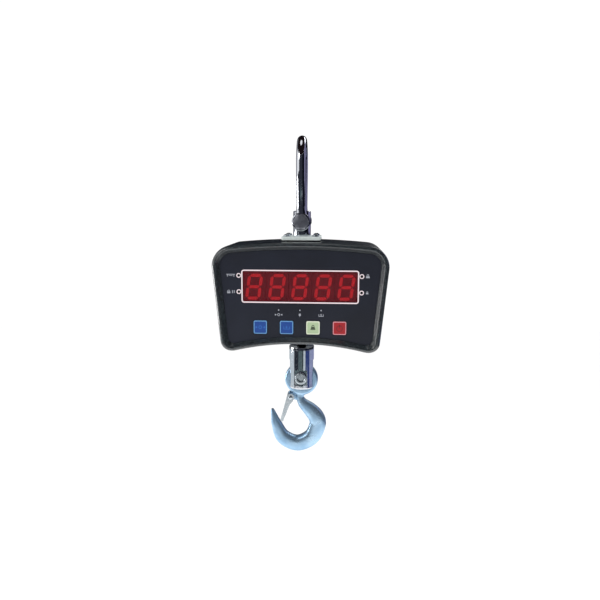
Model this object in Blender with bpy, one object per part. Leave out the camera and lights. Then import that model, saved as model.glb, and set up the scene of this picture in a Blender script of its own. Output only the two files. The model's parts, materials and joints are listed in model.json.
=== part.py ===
"""Hanging crane scale: shackle, weighing case, swivelling clevis and latched eye hook.

Metres, +Z up. The origin is the point of the shackle's bow that bears on the crane hook, the
load line is the Z axis, and the display looks along -Y.
"""
import math

import bmesh
import bpy
from mathutils import Matrix, Vector

# --- Clearances ---------------------------------------------------------------
GAP = 0.0003             # between pieces that touch or screw together
SLIDE = 0.0005           # around a piece that slides or turns

# --- Shackle and post -----------------------------------------------------------
SHACKLE_BAR = 0.013      # diameter of the bent bar
BOW_RADIUS = 0.0245      # inside of the bow
SHACKLE_REACH = 0.104    # from the bearing point to the shackle bolt
EYE_RADIUS = 0.0127
EYE_THICKNESS = 0.013
SHACKLE_BOLT = 0.012     # diameter
SHACKLE_HEX = 0.019      # across flats of the bolt's head and nut
HEX_THICKNESS = 0.008
POST = 0.025             # diameter
POST_CROWN = 0.0145      # post above the bolt's axis

# --- Case -----------------------------------------------------------------------
CASE_WIDTH = 0.240       # at its widest
CASE_HEIGHT = 0.139      # on the centre line
CASE_DEPTH = 0.104
CASE_DROP = 0.027        # from the shackle bolt to the case's top
SIDE_LEAN = math.radians(5.6)
TOP_CAMBER = 0.0071      # the top edge is crowned
BOTTOM_CAMBER = 0.019    # the bottom edge is hollow
TOP_CORNER = 0.0255
BOTTOM_CORNER = 0.021
WALL = 0.003
EDGE_ROUND = 0.005       # of the outer edges
RIM_WIDTH = 0.0105       # raised rim around the face, its sloping inner side included
RIM_SLOPE = 0.005        # width of the sloping side
FACE_RECESS = 0.006      # panel behind the rim
REAR_DEPTH = 0.016       # depth of the rear cover
SEAL_THICKNESS = 0.0012
CASE_SCREW = 0.004
CASE_BOSS = 0.011
BOSS_LENGTH = 0.020

# --- Top plate --------------------------------------------------------------------
PLATE_SIDE = 0.054
PLATE_THICKNESS = 0.005
GASKET_THICKNESS = 0.001
PLATE_SCREW = 0.0045
PLATE_SCREW_OUT = 0.020  # from the post's axis, both ways
PLATE_SCREW_LENGTH = 0.016
PAN_HEAD = 0.0094
PAN_HEIGHT = 0.0034
ANCHOR_DEPTH = 0.015     # solid metal under the plate

# --- Face -------------------------------------------------------------------------
PANEL_THICKNESS = 0.0012
WINDOW_WIDTH = 0.1603
WINDOW_HEIGHT = 0.046
WINDOW_CORNER = 0.004
WINDOW_THICKNESS = 0.0015
WINDOW_LEDGE = 0.0012
DIGITS = 5
DIGIT_DEPTH = 0.0085
DIGIT_SETBACK = 0.0018   # behind the window
KEY_SIDE = 0.0183
KEY_PITCH = 0.0362
KEY_CORNER = 0.002
KEY_PROUD = 0.0010
KEY_THICKNESS = 0.005
KEY_TRAVEL = 0.0007
SWITCH_SIDE = 0.009      # the switch under each key
SIDE_LAMP = 0.0034       # diameter
SIDE_LAMP_OUT = 0.0032   # from the window's edge
SIDE_LAMP_PITCH = 0.0223
SMALL_LAMP = 0.0018
SMALL_LAMP_PITCH = 0.029
SMALL_LAMP_BELOW = 0.0094
WINDOW_SHARE = 0.4896    # of the face's free height, above the window
KEY_SHARE = 0.0583       # of the face's free height, under the keys
BOARD_THICKNESS = 0.0016
BOARD_INSET = 0.02005    # display board inside the case's skin, or less where the lamps need it
BOARD_PAST_LAMP = 0.0166  # display board beyond the side lamps, at the case's widest

# --- Load cell, battery and boards ---------------------------------------------------
CELL_WIDTH = 0.051
CELL_HEIGHT = 0.064
CELL_DEPTH = 0.022
CELL_SLOT = 0.003
CELL_BORE = 0.016
STUD = 0.014             # thread of the post and of the swivel stud
STUD_ENGAGED = 0.012
LOCK_NUT_WALL = 0.0025   # round the thread, across the flats
LOCK_NUT_THICKNESS = 0.009
BATTERY = (0.097, 0.033, 0.066)
BATTERY_COVER = (0.112, 0.0025, 0.082)
BATTERY_LEDGE = 0.007
BATTERY_TERMINAL = 0.006
COVER_SCREW = 0.003
COVER_SCREW_HEAD = 0.0062
COVER_SCREW_HEAD_HEIGHT = 0.0016
MAIN_BOARD = (0.050, 0.0016, 0.064)
MAIN_BOARD_OUT = 0.062
MAIN_BOARD_SETBACK = 0.009
HEADER = (0.030, 0.005)  # joins the two boards
HEADER_UP = 0.022
CHIP = (0.012, 0.003, 0.012)
BUZZER = 0.012           # diameter
BUZZER_HEIGHT = 0.008
DC_SOCKET = 0.011

# --- Swivel and clevis -----------------------------------------------------------------
SWIVEL_DROP = 0.0127     # from the case's underside to the clevis cap
CLEVIS = 0.036           # diameter
STUD_HEAD_ROOM = 0.0015  # between the stud's head and the clevis bore
CAP_FLANGE = 0.0035
CAP_PLUG = 0.0028
WASHER = 0.0015
BALL = 0.003
BALLS = 8
THRUST_RING = 0.005      # width of the bearing's track, round the stud
STUD_HEAD_THICKNESS = 0.0058
BOLT_BELOW_HEAD = 0.0248  # clevis bolt under the stud's head
CLEVIS_BELOW_BOLT = 0.0181
CLEVIS_CHAMFER = 0.0025
CLEVIS_FLAT = 0.0022     # depth of the flats under the bolt's head and nut
CLEVIS_BOLT = 0.0144
CLEVIS_BOLT_HEAD = 0.017
CLEVIS_BOLT_HEAD_HEIGHT = 0.0052
CLEVIS_SOCKET = 0.0095   # across flats
CLEVIS_THREAD = 0.010
CLEVIS_NUT_THICKNESS = 0.006

# --- Hook and latch ------------------------------------------------------------------------
HOOK_EYE = 0.024         # outer radius
HOOK_EYE_HOLE = 0.0129   # radius
HOOK_EYE_THICKNESS = 0.012
EYE_SIDE_PLAY = 0.001
# Sections of the hook from its eye to its point: (x, z below the eye, width, thickness).
HOOK_SECTIONS = (
    (-0.0010, 0.0045, 0.0160, 0.0110),
    (-0.0020, -0.0045, 0.0110, 0.0115),
    (0.0025, -0.0135, 0.0150, 0.0135),
    (0.0125, -0.0228, 0.0205, 0.0160),
    (0.0215, -0.0335, 0.0235, 0.0180),
    (0.0240, -0.0455, 0.0245, 0.0180),
    (0.0150, -0.0653, 0.0240, 0.0180),
    (-0.0060, -0.0752, 0.0230, 0.0180),
    (-0.0270, -0.0662, 0.0215, 0.0170),
    (-0.0370, -0.0460, 0.0150, 0.0150),
    (-0.0404, -0.0345, 0.0095, 0.0120),
    (-0.0434, -0.0235, 0.0040, 0.0080),
)
LATCH_PIVOT = (-0.0156, -0.0027)  # from the bottom of the eye
LATCH_HEAD = 0.0056      # radius around the pivot
LATCH_WIDTH = 0.018
LATCH_SHEET = 0.0014
LATCH_LENGTH = 0.0385
LATCH_LEAN = math.radians(19.0)
LATCH_TIP = 0.0044       # width of its end, seen from the front
LUG_THICKNESS = 0.006
LUG_HEIGHT = 0.009
LATCH_PIN = 0.004
SPRING_WIRE = 0.0009
SPRING_TURNS = 2

# --- Fineness of the round pieces ------------------------------------------------------------
SIDES = 24
SMALL_SIDES = 10
HOOK_STEPS = 2
ARC_STEPS = 4            # in each corner of the case
END_SPANS = 6            # along its top and its bottom
SHARP = math.radians(35)

# --- Levels and places worked out from the sizes above ----------------------------------------
BOLT_Z = -SHACKLE_REACH
EYE_Y = POST / 2 + 2 * SLIDE + EYE_THICKNESS / 2
CASE_TOP = BOLT_Z - CASE_DROP
CASE_BOTTOM = CASE_TOP - CASE_HEIGHT
FRONT = -CASE_DEPTH / 2
REAR = CASE_DEPTH / 2
SEAL_FRONT = REAR - REAR_DEPTH - SEAL_THICKNESS - 2 * GAP
HOUSING_REAR = SEAL_FRONT
COVER_FRONT = REAR - REAR_DEPTH
PANEL_FRONT = FRONT + FACE_RECESS
SEAT = PANEL_FRONT + PANEL_THICKNESS + GAP
INNER_FRONT = SEAT + WALL
FACE_FREE = CASE_HEIGHT - 2 * RIM_WIDTH - WINDOW_HEIGHT - KEY_SIDE
WINDOW_Z = CASE_TOP - RIM_WIDTH - WINDOW_SHARE * FACE_FREE - WINDOW_HEIGHT / 2
KEY_Z = CASE_BOTTOM + RIM_WIDTH + KEY_SHARE * FACE_FREE + KEY_SIDE / 2
SMALL_LAMP_Z = WINDOW_Z - WINDOW_HEIGHT / 2 - SMALL_LAMP_BELOW
WINDOW_FRONT = PANEL_FRONT - GAP
DIGIT_FRONT = WINDOW_FRONT + WINDOW_THICKNESS + DIGIT_SETBACK
DIGIT_PITCH = (WINDOW_WIDTH - 2 * WINDOW_LEDGE - 3 * GAP) / DIGITS
SIDE_LAMP_X = WINDOW_WIDTH / 2 + SIDE_LAMP_OUT
BOARD_EDGE = min(BOARD_INSET, CASE_WIDTH / 2 - SIDE_LAMP_X - BOARD_PAST_LAMP)
BOARD_FRONT = DIGIT_FRONT + DIGIT_DEPTH + GAP
KEY_BACK = PANEL_FRONT - KEY_PROUD + KEY_THICKNESS
CELL_Z = (CASE_TOP + CASE_BOTTOM) / 2
CELL_TOP = CELL_Z + CELL_HEIGHT / 2
CELL_UNDER = CELL_Z - CELL_HEIGHT / 2
PLATE_UNDER = CASE_TOP + GASKET_THICKNESS + 2 * GAP
PLATE_TOP = PLATE_UNDER + PLATE_THICKNESS
CAP_TOP = CASE_BOTTOM - SWIVEL_DROP
CLEVIS_TOP = CAP_TOP - CAP_FLANGE - GAP
CAP_UNDER = CLEVIS_TOP - CAP_PLUG
BALL_Z = CAP_UNDER - GAP - WASHER - GAP - BALL / 2
STUD_HEAD = STUD + 2 * THRUST_RING
CLEVIS_BORE = STUD_HEAD + 2 * STUD_HEAD_ROOM
LOCK_NUT_HEX = STUD + 2 * LOCK_NUT_WALL
STUD_HEAD_TOP = BALL_Z - BALL / 2 - GAP - WASHER - GAP
STUD_HEAD_UNDER = STUD_HEAD_TOP - STUD_HEAD_THICKNESS
CLEVIS_BOLT_Z = STUD_HEAD_UNDER - BOLT_BELOW_HEAD
CLEVIS_UNDER = CLEVIS_BOLT_Z - CLEVIS_BELOW_BOLT
SLOT_WIDTH = HOOK_EYE_THICKNESS + 2 * EYE_SIDE_PLAY
EYE_Z = CLEVIS_BOLT_Z - (HOOK_EYE_HOLE - CLEVIS_BOLT / 2 - GAP)
HOOK_BASE = EYE_Z - HOOK_EYE
LATCH_X = LATCH_PIVOT[0]
LATCH_Z = HOOK_BASE + LATCH_PIVOT[1]
BATTERY_Y = REAR - WALL - 2 * GAP - BATTERY[1] / 2


# --- Finishes -----------------------------------------------------------------------------------
def finish(name, colour, roughness, metallic=0.0, alpha=1.0):
    material = bpy.data.materials.new(name)
    material.use_nodes = True
    shader = material.node_tree.nodes["Principled BSDF"]
    shader.inputs["Base Color"].default_value = (*colour, 1.0)
    shader.inputs["Roughness"].default_value = roughness
    shader.inputs["Metallic"].default_value = metallic
    shader.inputs["Alpha"].default_value = alpha
    return material


# --- Mesh shapes ----------------------------------------------------------------------------------
def loft(rings, closed=False):
    """Skins equal rings of points, capping the ends, or joining the last to the first if closed."""
    shape = bmesh.new()
    skins = [[shape.verts.new(point) for point in ring] for ring in rings]
    count = len(rings[0])
    pairs = list(zip(skins, skins[1:]))
    if closed:
        pairs.append((skins[-1], skins[0]))
    else:
        shape.faces.new(skins[0])
        shape.faces.new(skins[-1])
    for first, second in pairs:
        for i in range(count):
            j = (i + 1) % count
            shape.faces.new((first[i], first[j], second[j], second[i]))
    bmesh.ops.recalc_face_normals(shape, faces=shape.faces)
    mesh = bpy.data.meshes.new("shape")
    shape.to_mesh(mesh)
    shape.free()
    mesh.shade_smooth()
    mesh.set_sharp_from_angle(angle=SHARP)
    return mesh


def turn_to(axis):
    """Rotation that lays a shape made along Z along the named axis."""
    angles = {"X": Matrix.Rotation(math.pi / 2, 4, "Y"), "Y": Matrix.Rotation(-math.pi / 2, 4, "X")}
    return angles.get(axis, Matrix.Identity(4))


def circle(radius, along, sides):
    offset = math.pi / sides
    angles = [offset + 2 * math.pi * i / sides for i in range(sides)]
    return [Vector((radius * math.cos(a), radius * math.sin(a), along)) for a in angles]


def turned(profile, axis="Z", sides=SIDES, hollow=False):
    """Turns a profile of (radius, along) about an axis. A hollow profile goes round its wall."""
    mesh = loft([circle(radius, along, sides) for radius, along in profile], closed=hollow)
    mesh.transform(turn_to(axis))
    return mesh


def rod(diameter, start, end, axis="Z", sides=SIDES):
    return turned(((diameter / 2, start), (diameter / 2, end)), axis, sides)


def hexagon(across_flats, start, end, axis="Y"):
    return rod(across_flats / math.cos(math.pi / 6), start, end, axis, sides=6)


def hex_nut(across_flats, bore, start, end, axis="Y"):
    """A hexagon with a round bore, as one skin whose bore has a multiple of six sides."""
    corner = across_flats / 2 / math.cos(math.pi / 6)
    hexagonal = []
    for i in range(24):
        angle = 2 * math.pi * i / 24
        off_corner = (angle + math.pi / 6) % (math.pi / 3) - math.pi / 6
        hexagonal.append(corner * math.cos(math.pi / 6) / math.cos(abs(abs(off_corner) - math.pi / 6)))
    rings = []
    for outer, along in ((True, start), (True, end), (False, end), (False, start)):
        ring = []
        for i, reach in enumerate(hexagonal):
            radius = reach if outer else bore / 2
            angle = 2 * math.pi * i / 24
            ring.append(Vector((radius * math.cos(angle), radius * math.sin(angle), along)))
        rings.append(ring)
    mesh = loft(rings, closed=True)
    mesh.transform(turn_to(axis))
    return mesh


def rounded(corners, radii, steps=4):
    """A polygon's corners, each turned into an arc of its own radius."""
    points = []
    for i, corner in enumerate(corners):
        here = Vector(corner)
        before = (Vector(corners[i - 1]) - here).normalized()
        after = (Vector(corners[(i + 1) % len(corners)]) - here).normalized()
        half = before.angle(after) / 2
        centre = here + (before + after).normalized() * (radii[i] / math.sin(half))
        first = here + before * (radii[i] / math.tan(half)) - centre
        last = here + after * (radii[i] / math.tan(half)) - centre
        start = math.atan2(first.y, first.x)
        sweep = math.remainder(math.atan2(last.y, last.x) - start, 2 * math.pi)
        for step in range(steps + 1):
            angle = start + sweep * step / steps
            points.append((centre.x + radii[i] * math.cos(angle), centre.y + radii[i] * math.sin(angle)))
    return points


def plate(outline, front, back):
    """An (x, z) outline, extruded from one y to the other."""
    return loft([[Vector((x, y, z)) for x, z in outline] for y in (front, back)])


def rectangle(width, height, corner, steps=3):
    x, z = width / 2, height / 2
    return rounded([(-x, -z), (x, -z), (x, z), (-x, z)], [corner] * 4, steps)


def block(size, corner=0.0):
    """A box around its own centre, with its upright edges rounded if a corner is given."""
    width, depth, height = size
    x, z = width / 2, height / 2
    outline = rectangle(width, height, corner) if corner else [(-x, -z), (x, -z), (x, z), (-x, z)]
    return plate(outline, -depth / 2, depth / 2)


def together(shapes):
    """One mesh from (mesh, place) pairs, for cutting or adding several shapes at once."""
    shape = bmesh.new()
    for mesh, place in shapes:
        moved = mesh.copy()
        moved.transform(Matrix.Translation(place))
        shape.from_mesh(moved)
    mesh = bpy.data.meshes.new("together")
    shape.to_mesh(mesh)
    shape.free()
    return mesh


# --- Pieces and how they come together ------------------------------------------------------------
def joint(name, place):
    """An empty on a joint's axis, which carries the pieces of one moving body."""
    empty = bpy.data.objects.new(name, None)
    empty.location = place
    bpy.context.scene.collection.objects.link(empty)
    return empty


def piece(name, mesh, material, carrier, place=(0, 0, 0)):
    made = bpy.data.objects.new(name, mesh)
    made.parent = carrier
    made.location = Vector(place) - carrier.location
    mesh.materials.append(material)
    bpy.context.scene.collection.objects.link(made)
    return made


def tool(target, operation, shapes):
    """Cuts shapes out of a piece, or adds them to it, with one Boolean."""
    cutter = bpy.data.objects.new(f"{target.name}_{operation.lower()}", together(shapes))
    cutter.hide_render = True
    cutter.display_type = "WIRE"
    bpy.context.scene.collection.objects.link(cutter)
    boolean = target.modifiers.new(operation.lower(), "BOOLEAN")
    boolean.operation = operation
    boolean.object = cutter


def cut(target, *shapes):
    tool(target, "DIFFERENCE", shapes)


def add(target, *shapes):
    tool(target, "UNION", shapes)


# --- Case outline ---------------------------------------------------------------------------------
def case_outline(inset=0.0):
    """(x, z) points of the case seen from the front, inset inside its skin, with cambered ends."""
    flat_top = CASE_TOP - TOP_CAMBER
    flat_bottom = CASE_BOTTOM - BOTTOM_CAMBER
    lean = math.tan(SIDE_LEAN)

    def half_width(z):
        return CASE_WIDTH / 2 - (flat_top - TOP_CORNER - z) * lean - inset / math.cos(SIDE_LEAN)

    top, bottom = flat_top - inset, flat_bottom + inset
    corners = [(-half_width(bottom), bottom), (half_width(bottom), bottom),
               (half_width(top), top), (-half_width(top), top)]
    radii = [max(radius - inset, 0.002) for radius in (BOTTOM_CORNER,) * 2 + (TOP_CORNER,) * 2]
    arcs = rounded(corners, radii, ARC_STEPS)
    per_arc = ARC_STEPS + 1
    points = []
    for side in range(4):
        arc = arcs[side * per_arc:(side + 1) * per_arc]
        following = arcs[(side + 1) * per_arc % len(arcs)]
        points += arc
        cuts = END_SPANS if side in (0, 2) else 1
        for k in range(1, cuts):
            share = k / cuts
            points.append(tuple(a + (b - a) * share for a, b in zip(arc[-1], following)))
    cambered = []
    for x, z in points:
        height = (z - flat_bottom) / (flat_top - flat_bottom)
        bow = max(0.0, 1 - (x / (CASE_WIDTH / 2)) ** 2)
        cambered.append((x, z + (TOP_CAMBER * height + BOTTOM_CAMBER * (1 - height)) * bow))
    return cambered


def case_ring(inset, y):
    return [Vector((x, y, z)) for x, z in case_outline(inset)]


def edge_rings(face, inward, steps=2):
    """Rings of the rounded outer edge, from the face back to the side skin. inward is +1 or -1."""
    rings = []
    for step in range(steps + 1):
        angle = math.pi / 2 * step / steps
        inset = EDGE_ROUND * (1 - math.sin(angle))
        rings.append(case_ring(inset, face + inward * EDGE_ROUND * (1 - math.cos(angle))))
    return rings


def case_screw_places():
    """(x, z) of the case screws: inside the four corners, and beside the anchor under the top."""
    inset = WALL + CASE_BOSS / 2 - 0.001
    inside = case_outline(inset)
    arc, ends = ARC_STEPS + 1, END_SPANS - 1
    starts = (0, arc + ends, 2 * arc + ends, 3 * arc + 2 * ends)
    places = [inside[start + ARC_STEPS // 2] for start in starts]
    middle = PLATE_SIDE / 2 + 0.022
    bow = 1 - (middle / (CASE_WIDTH / 2)) ** 2
    top = CASE_TOP - TOP_CAMBER * (1 - bow) - inset
    return places + [(-middle, top), (middle, top)]


# --- Shackle --------------------------------------------------------------------------------------
def bow_path(arm_points=6, bow_points=10):
    """(y, z) points of the shackle bar's centre line, from one eye over the bow to the other."""
    radius = BOW_RADIUS + SHACKLE_BAR / 2
    bow_z = -BOW_RADIUS
    start_z = BOLT_Z + EYE_RADIUS / 2
    arm = []
    for i in range(arm_points):
        share = i / arm_points
        ease = share * share * (3 - 2 * share)
        arm.append((EYE_Y + (radius - EYE_Y) * ease, start_z + (bow_z - start_z) * share))
    angles = [math.pi * i / bow_points for i in range(bow_points + 1)]
    bow = [(radius * math.cos(a), bow_z + radius * math.sin(a)) for a in angles]
    return arm + bow + [(-y, z) for y, z in reversed(arm)]


def swept_bar(path, diameter, sides=10):
    """A round bar along a path in the YZ plane."""
    rings = []
    for i, (y, z) in enumerate(path):
        before, after = path[max(i - 1, 0)], path[min(i + 1, len(path) - 1)]
        along = Vector((0, after[0] - before[0], after[1] - before[1])).normalized()
        out = Vector((0, -along.z, along.y))
        angles = [2 * math.pi * k / sides for k in range(sides)]
        rings.append([Vector((0, y, z)) + diameter / 2 * (Vector((math.cos(a), 0, 0)) + out * math.sin(a))
                      for a in angles])
    return loft(rings)


def make_shackle(carrier, steel):
    shackle = piece("shackle", swept_bar(bow_path(), SHACKLE_BAR), steel, carrier)
    half = EYE_THICKNESS / 2
    chamfer = 0.0015
    eye = turned(((EYE_RADIUS - chamfer, -half), (EYE_RADIUS, chamfer - half),
                  (EYE_RADIUS, half - chamfer), (EYE_RADIUS - chamfer, half)), "Y", SIDES)
    add(shackle, (eye, (0, -EYE_Y, BOLT_Z)), (eye, (0, EYE_Y, BOLT_Z)))
    reach = EYE_Y + EYE_THICKNESS
    cut(shackle, (rod(SHACKLE_BOLT + 2 * GAP, -reach, reach, "Y"), (0, 0, BOLT_Z)))

    face = EYE_Y + half + GAP
    head = HEX_THICKNESS
    bolt = piece("shackle_bolt", rod(SHACKLE_BOLT, -face - head / 2, face + head + 0.005, "Y", SMALL_SIDES),
                 steel, carrier, (0, 0, BOLT_Z))
    add(bolt, (hexagon(SHACKLE_HEX, -face - head, -face), (0, 0, BOLT_Z)))
    nut = hex_nut(SHACKLE_HEX, SHACKLE_BOLT + 2 * GAP, face, face + head)
    piece("shackle_nut", nut, steel, carrier, (0, 0, BOLT_Z))


def make_post(carrier, steel):
    """The post hangs on the shackle bolt and screws into the top of the load cell."""
    crown = BOLT_Z + POST_CROWN
    shoulder = CELL_TOP + 2 * LOCK_NUT_THICKNESS
    chamfer = 0.001
    post = piece("post", turned((
        (STUD / 2, CELL_TOP - STUD_ENGAGED), (STUD / 2, shoulder), (POST / 2, shoulder),
        (POST / 2, crown - chamfer), (POST / 2 - chamfer, crown))), steel, carrier)
    cut(post, (rod(SHACKLE_BOLT + 2 * SLIDE, -POST, POST, "Y"), (0, 0, BOLT_Z)))
    nut = hex_nut(LOCK_NUT_HEX, STUD + 2 * GAP, GAP, GAP + LOCK_NUT_THICKNESS, "Z")
    piece("post_lock_nut", nut, steel, carrier, (0, 0, CELL_TOP))


def plate_screw_spots():
    return [(x * PLATE_SCREW_OUT, y * PLATE_SCREW_OUT) for x in (-1, 1) for y in (-1, 1)]


def make_top_plate(carrier, zinc, rubber):
    spots = plate_screw_spots()
    layers = (("top_gasket", rubber, CASE_TOP + GAP, GASKET_THICKNESS),
              ("top_plate", zinc, PLATE_UNDER, PLATE_THICKNESS))
    for name, material, under, thickness in layers:
        mesh = block((PLATE_SIDE, thickness, PLATE_SIDE), corner=0.003)
        mesh.transform(turn_to("Y").inverted())
        layer = piece(name, mesh, material, carrier, (0, 0, under + thickness / 2))
        bore = rod(POST + 2 * GAP, -thickness, 2 * thickness)
        hole = rod(PLATE_SCREW + 2 * GAP, -thickness, 2 * thickness, sides=SMALL_SIDES)
        cut(layer, (bore, (0, 0, under)), *[(hole, (x, y, under)) for x, y in spots])
    for number, (x, y) in enumerate(spots, 1):
        screw = turned(((PLATE_SCREW / 2, GAP - PLATE_SCREW_LENGTH), (PLATE_SCREW / 2, GAP),
                        (PAN_HEAD / 2, GAP), (PAN_HEAD / 2, PAN_HEIGHT / 2),
                        (PAN_HEAD / 3, PAN_HEIGHT)), sides=SMALL_SIDES)
        piece(f"plate_screw_{number}", screw, zinc, carrier, (x, y, PLATE_TOP))


# --- Case -----------------------------------------------------------------------------------------
def face_openings(front, back, window_margin, window_corner):
    """What the window, keys and lamps need cut through a plate of the face."""
    window = plate(rectangle(WINDOW_WIDTH + 2 * window_margin, WINDOW_HEIGHT + 2 * window_margin,
                             window_corner), front, back)
    key = plate(rectangle(KEY_SIDE + 2 * GAP, KEY_SIDE + 2 * GAP, KEY_CORNER), front, back)
    shapes = [(window, (0, 0, WINDOW_Z))]
    shapes += [(key, (x, 0, KEY_Z)) for _, x in keys()]
    for _, x, z, diameter in lamps():
        shapes.append((rod(diameter + 2 * GAP, front, back, "Y", SMALL_SIDES), (x, 0, z)))
    return shapes


def keys():
    names = ("key_zero", "key_tare", "key_hold", "key_power")
    return [(name, (i - (len(names) - 1) / 2) * KEY_PITCH) for i, name in enumerate(names)]


def lamps():
    """(name, x, z, diameter) of each lamp on the face."""
    side_x = SIDE_LAMP_X
    side_z = WINDOW_Z + SIDE_LAMP_PITCH * 0.66
    places = [("left_upper", -side_x, side_z), ("left_lower", -side_x, side_z - SIDE_LAMP_PITCH),
              ("right_upper", side_x, side_z), ("right_lower", side_x, side_z - SIDE_LAMP_PITCH)]
    found = [(f"lamp_{name}", x, z, SIDE_LAMP) for name, x, z in places]
    for i, name in enumerate(("left", "middle", "right")):
        found.append((f"lamp_small_{name}", (i - 1) * SMALL_LAMP_PITCH, SMALL_LAMP_Z, SMALL_LAMP))
    return found


def make_housing(carrier, casting):
    rings = [case_ring(RIM_WIDTH, SEAT), case_ring(RIM_WIDTH, PANEL_FRONT),
             case_ring(RIM_WIDTH - RIM_SLOPE, FRONT)]
    rings += edge_rings(FRONT, 1)
    rings += [case_ring(0, HOUSING_REAR), case_ring(WALL, HOUSING_REAR), case_ring(WALL, INNER_FRONT)]
    housing = piece("front_housing", loft(rings), casting, carrier)

    anchor_top = CASE_TOP - WALL / 2
    anchor = block((PLATE_SIDE, PLATE_SIDE, ANCHOR_DEPTH))
    boss = rod(CASE_BOSS, HOUSING_REAR - BOSS_LENGTH, HOUSING_REAR, "Y", SMALL_SIDES)
    places = case_screw_places()
    add(housing, (anchor, (0, 0, anchor_top - ANCHOR_DEPTH / 2)), *[(boss, (x, 0, z)) for x, z in places])

    post_bore = rod(POST + 2 * GAP, CASE_TOP - ANCHOR_DEPTH * 2, CASE_TOP + WALL)
    stud_bore = rod(STUD + 4 * SLIDE, CASE_BOTTOM - WALL, CASE_BOTTOM + 2 * WALL)
    screw_bore = rod(PLATE_SCREW + 2 * GAP, CASE_TOP - PLATE_SCREW_LENGTH, CASE_TOP + WALL,
                     sides=SMALL_SIDES)
    case_bore = rod(CASE_SCREW + 2 * GAP, HOUSING_REAR - BOSS_LENGTH + WALL, HOUSING_REAR + WALL,
                    "Y", SMALL_SIDES)
    face = face_openings(SEAT - WALL, INNER_FRONT + WALL, -WINDOW_LEDGE, 2 * GAP)
    cut(housing, *face, (post_bore, (0, 0, 0)), (stud_bore, (0, 0, 0)),
        *[(screw_bore, (x, y, 0)) for x, y in plate_screw_spots()],
        *[(case_bore, (x, 0, z)) for x, z in places])


def make_rear_cover(carrier, casting, rubber, zinc):
    rings = edge_rings(REAR, -1)
    rings += [case_ring(0, COVER_FRONT), case_ring(WALL, COVER_FRONT), case_ring(WALL, REAR - WALL)]
    cover = piece("rear_cover", loft(rings), casting, carrier)
    places = case_screw_places()
    boss = rod(CASE_BOSS, COVER_FRONT, REAR - WALL / 2, "Y", SMALL_SIDES)
    add(cover, *[(boss, (x, 0, z)) for x, z in places])

    width, _, height = BATTERY_COVER
    opening = block((width - 2 * BATTERY_LEDGE, 4 * WALL, height - 2 * BATTERY_LEDGE), corner=0.003)
    head_depth = REAR_DEPTH / 2
    counterbore = rod(2 * CASE_SCREW + 2 * SLIDE, REAR - head_depth, REAR + WALL, "Y", SMALL_SIDES)
    bore = rod(CASE_SCREW + 2 * GAP, COVER_FRONT - WALL, REAR + WALL, "Y", SMALL_SIDES)
    socket = rod(DC_SOCKET + 2 * GAP, REAR - 2 * WALL, REAR + WALL, "Y", SMALL_SIDES)
    cover_bore = rod(COVER_SCREW + 2 * GAP, REAR - 2 * WALL, REAR + WALL, "Y", SMALL_SIDES)
    cut(cover, (opening, (0, REAR, CELL_Z)), (socket, dc_socket_place()),
        *[(counterbore, (x, 0, z)) for x, z in places],
        *[(cover_bore, (x, 0, CELL_Z)) for x in cover_screw_places()])
    cut(cover, *[(bore, (x, 0, z)) for x, z in places])

    seal_edges = ((0.0007, GAP), (WALL - 0.0007, GAP), (WALL - 0.0007, GAP + SEAL_THICKNESS),
                  (0.0007, GAP + SEAL_THICKNESS))
    seal = loft([case_ring(inset, SEAL_FRONT + y) for inset, y in seal_edges], closed=True)
    piece("case_seal", seal, rubber, carrier)

    head_face = REAR - head_depth + GAP
    for number, (x, z) in enumerate(places, 1):
        end = HOUSING_REAR - BOSS_LENGTH + 2 * WALL
        screw = turned(((CASE_SCREW / 2, end), (CASE_SCREW / 2, head_face),
                        (CASE_SCREW, head_face), (CASE_SCREW, head_face + 0.002),
                        (CASE_SCREW * 0.7, head_face + 0.003)), "Y", SMALL_SIDES)
        piece(f"case_screw_{number}", screw, zinc, carrier, (x, 0, z))


def cover_screw_places():
    out = BATTERY_COVER[0] / 2 - BATTERY_LEDGE / 2
    return (-out, out)


def dc_socket_place():
    return (CASE_WIDTH / 2 - 0.036, 0, CASE_BOTTOM + 0.018)


def make_battery(carrier, casting, plastic, zinc):
    battery = piece("battery", block(BATTERY, corner=0.002), plastic, carrier, (0, BATTERY_Y, CELL_Z))
    terminal = block((BATTERY_TERMINAL,) * 3)
    top = CELL_Z + BATTERY[2] / 2
    add(battery, *[(terminal, (x * BATTERY[0] / 3, BATTERY_Y, top)) for x in (-1, 1)])

    face = REAR + GAP
    thickness = BATTERY_COVER[1]
    cover = piece("battery_cover", block(BATTERY_COVER, corner=0.004), casting, carrier,
                  (0, face + thickness / 2, CELL_Z))
    counterbore = rod(COVER_SCREW_HEAD + 2 * GAP, face + thickness - COVER_SCREW_HEAD_HEIGHT - GAP,
                      face + 2 * thickness, "Y", SMALL_SIDES)
    bore = rod(COVER_SCREW + 2 * GAP, REAR - WALL, face + 2 * thickness, "Y", SMALL_SIDES)
    cut(cover, *[(counterbore, (x, 0, CELL_Z)) for x in cover_screw_places()])
    cut(cover, *[(bore, (x, 0, CELL_Z)) for x in cover_screw_places()])
    head_back = face + thickness
    head_front = head_back - COVER_SCREW_HEAD_HEIGHT
    for number, x in enumerate(cover_screw_places(), 1):
        screw = turned(((COVER_SCREW / 2, REAR - 2 * WALL), (COVER_SCREW / 2, head_front),
                        (COVER_SCREW_HEAD / 2, head_front), (COVER_SCREW_HEAD / 2, head_back)),
                       "Y", SMALL_SIDES)
        piece(f"battery_cover_screw_{number}", screw, zinc, carrier, (x, 0, CELL_Z))


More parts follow.
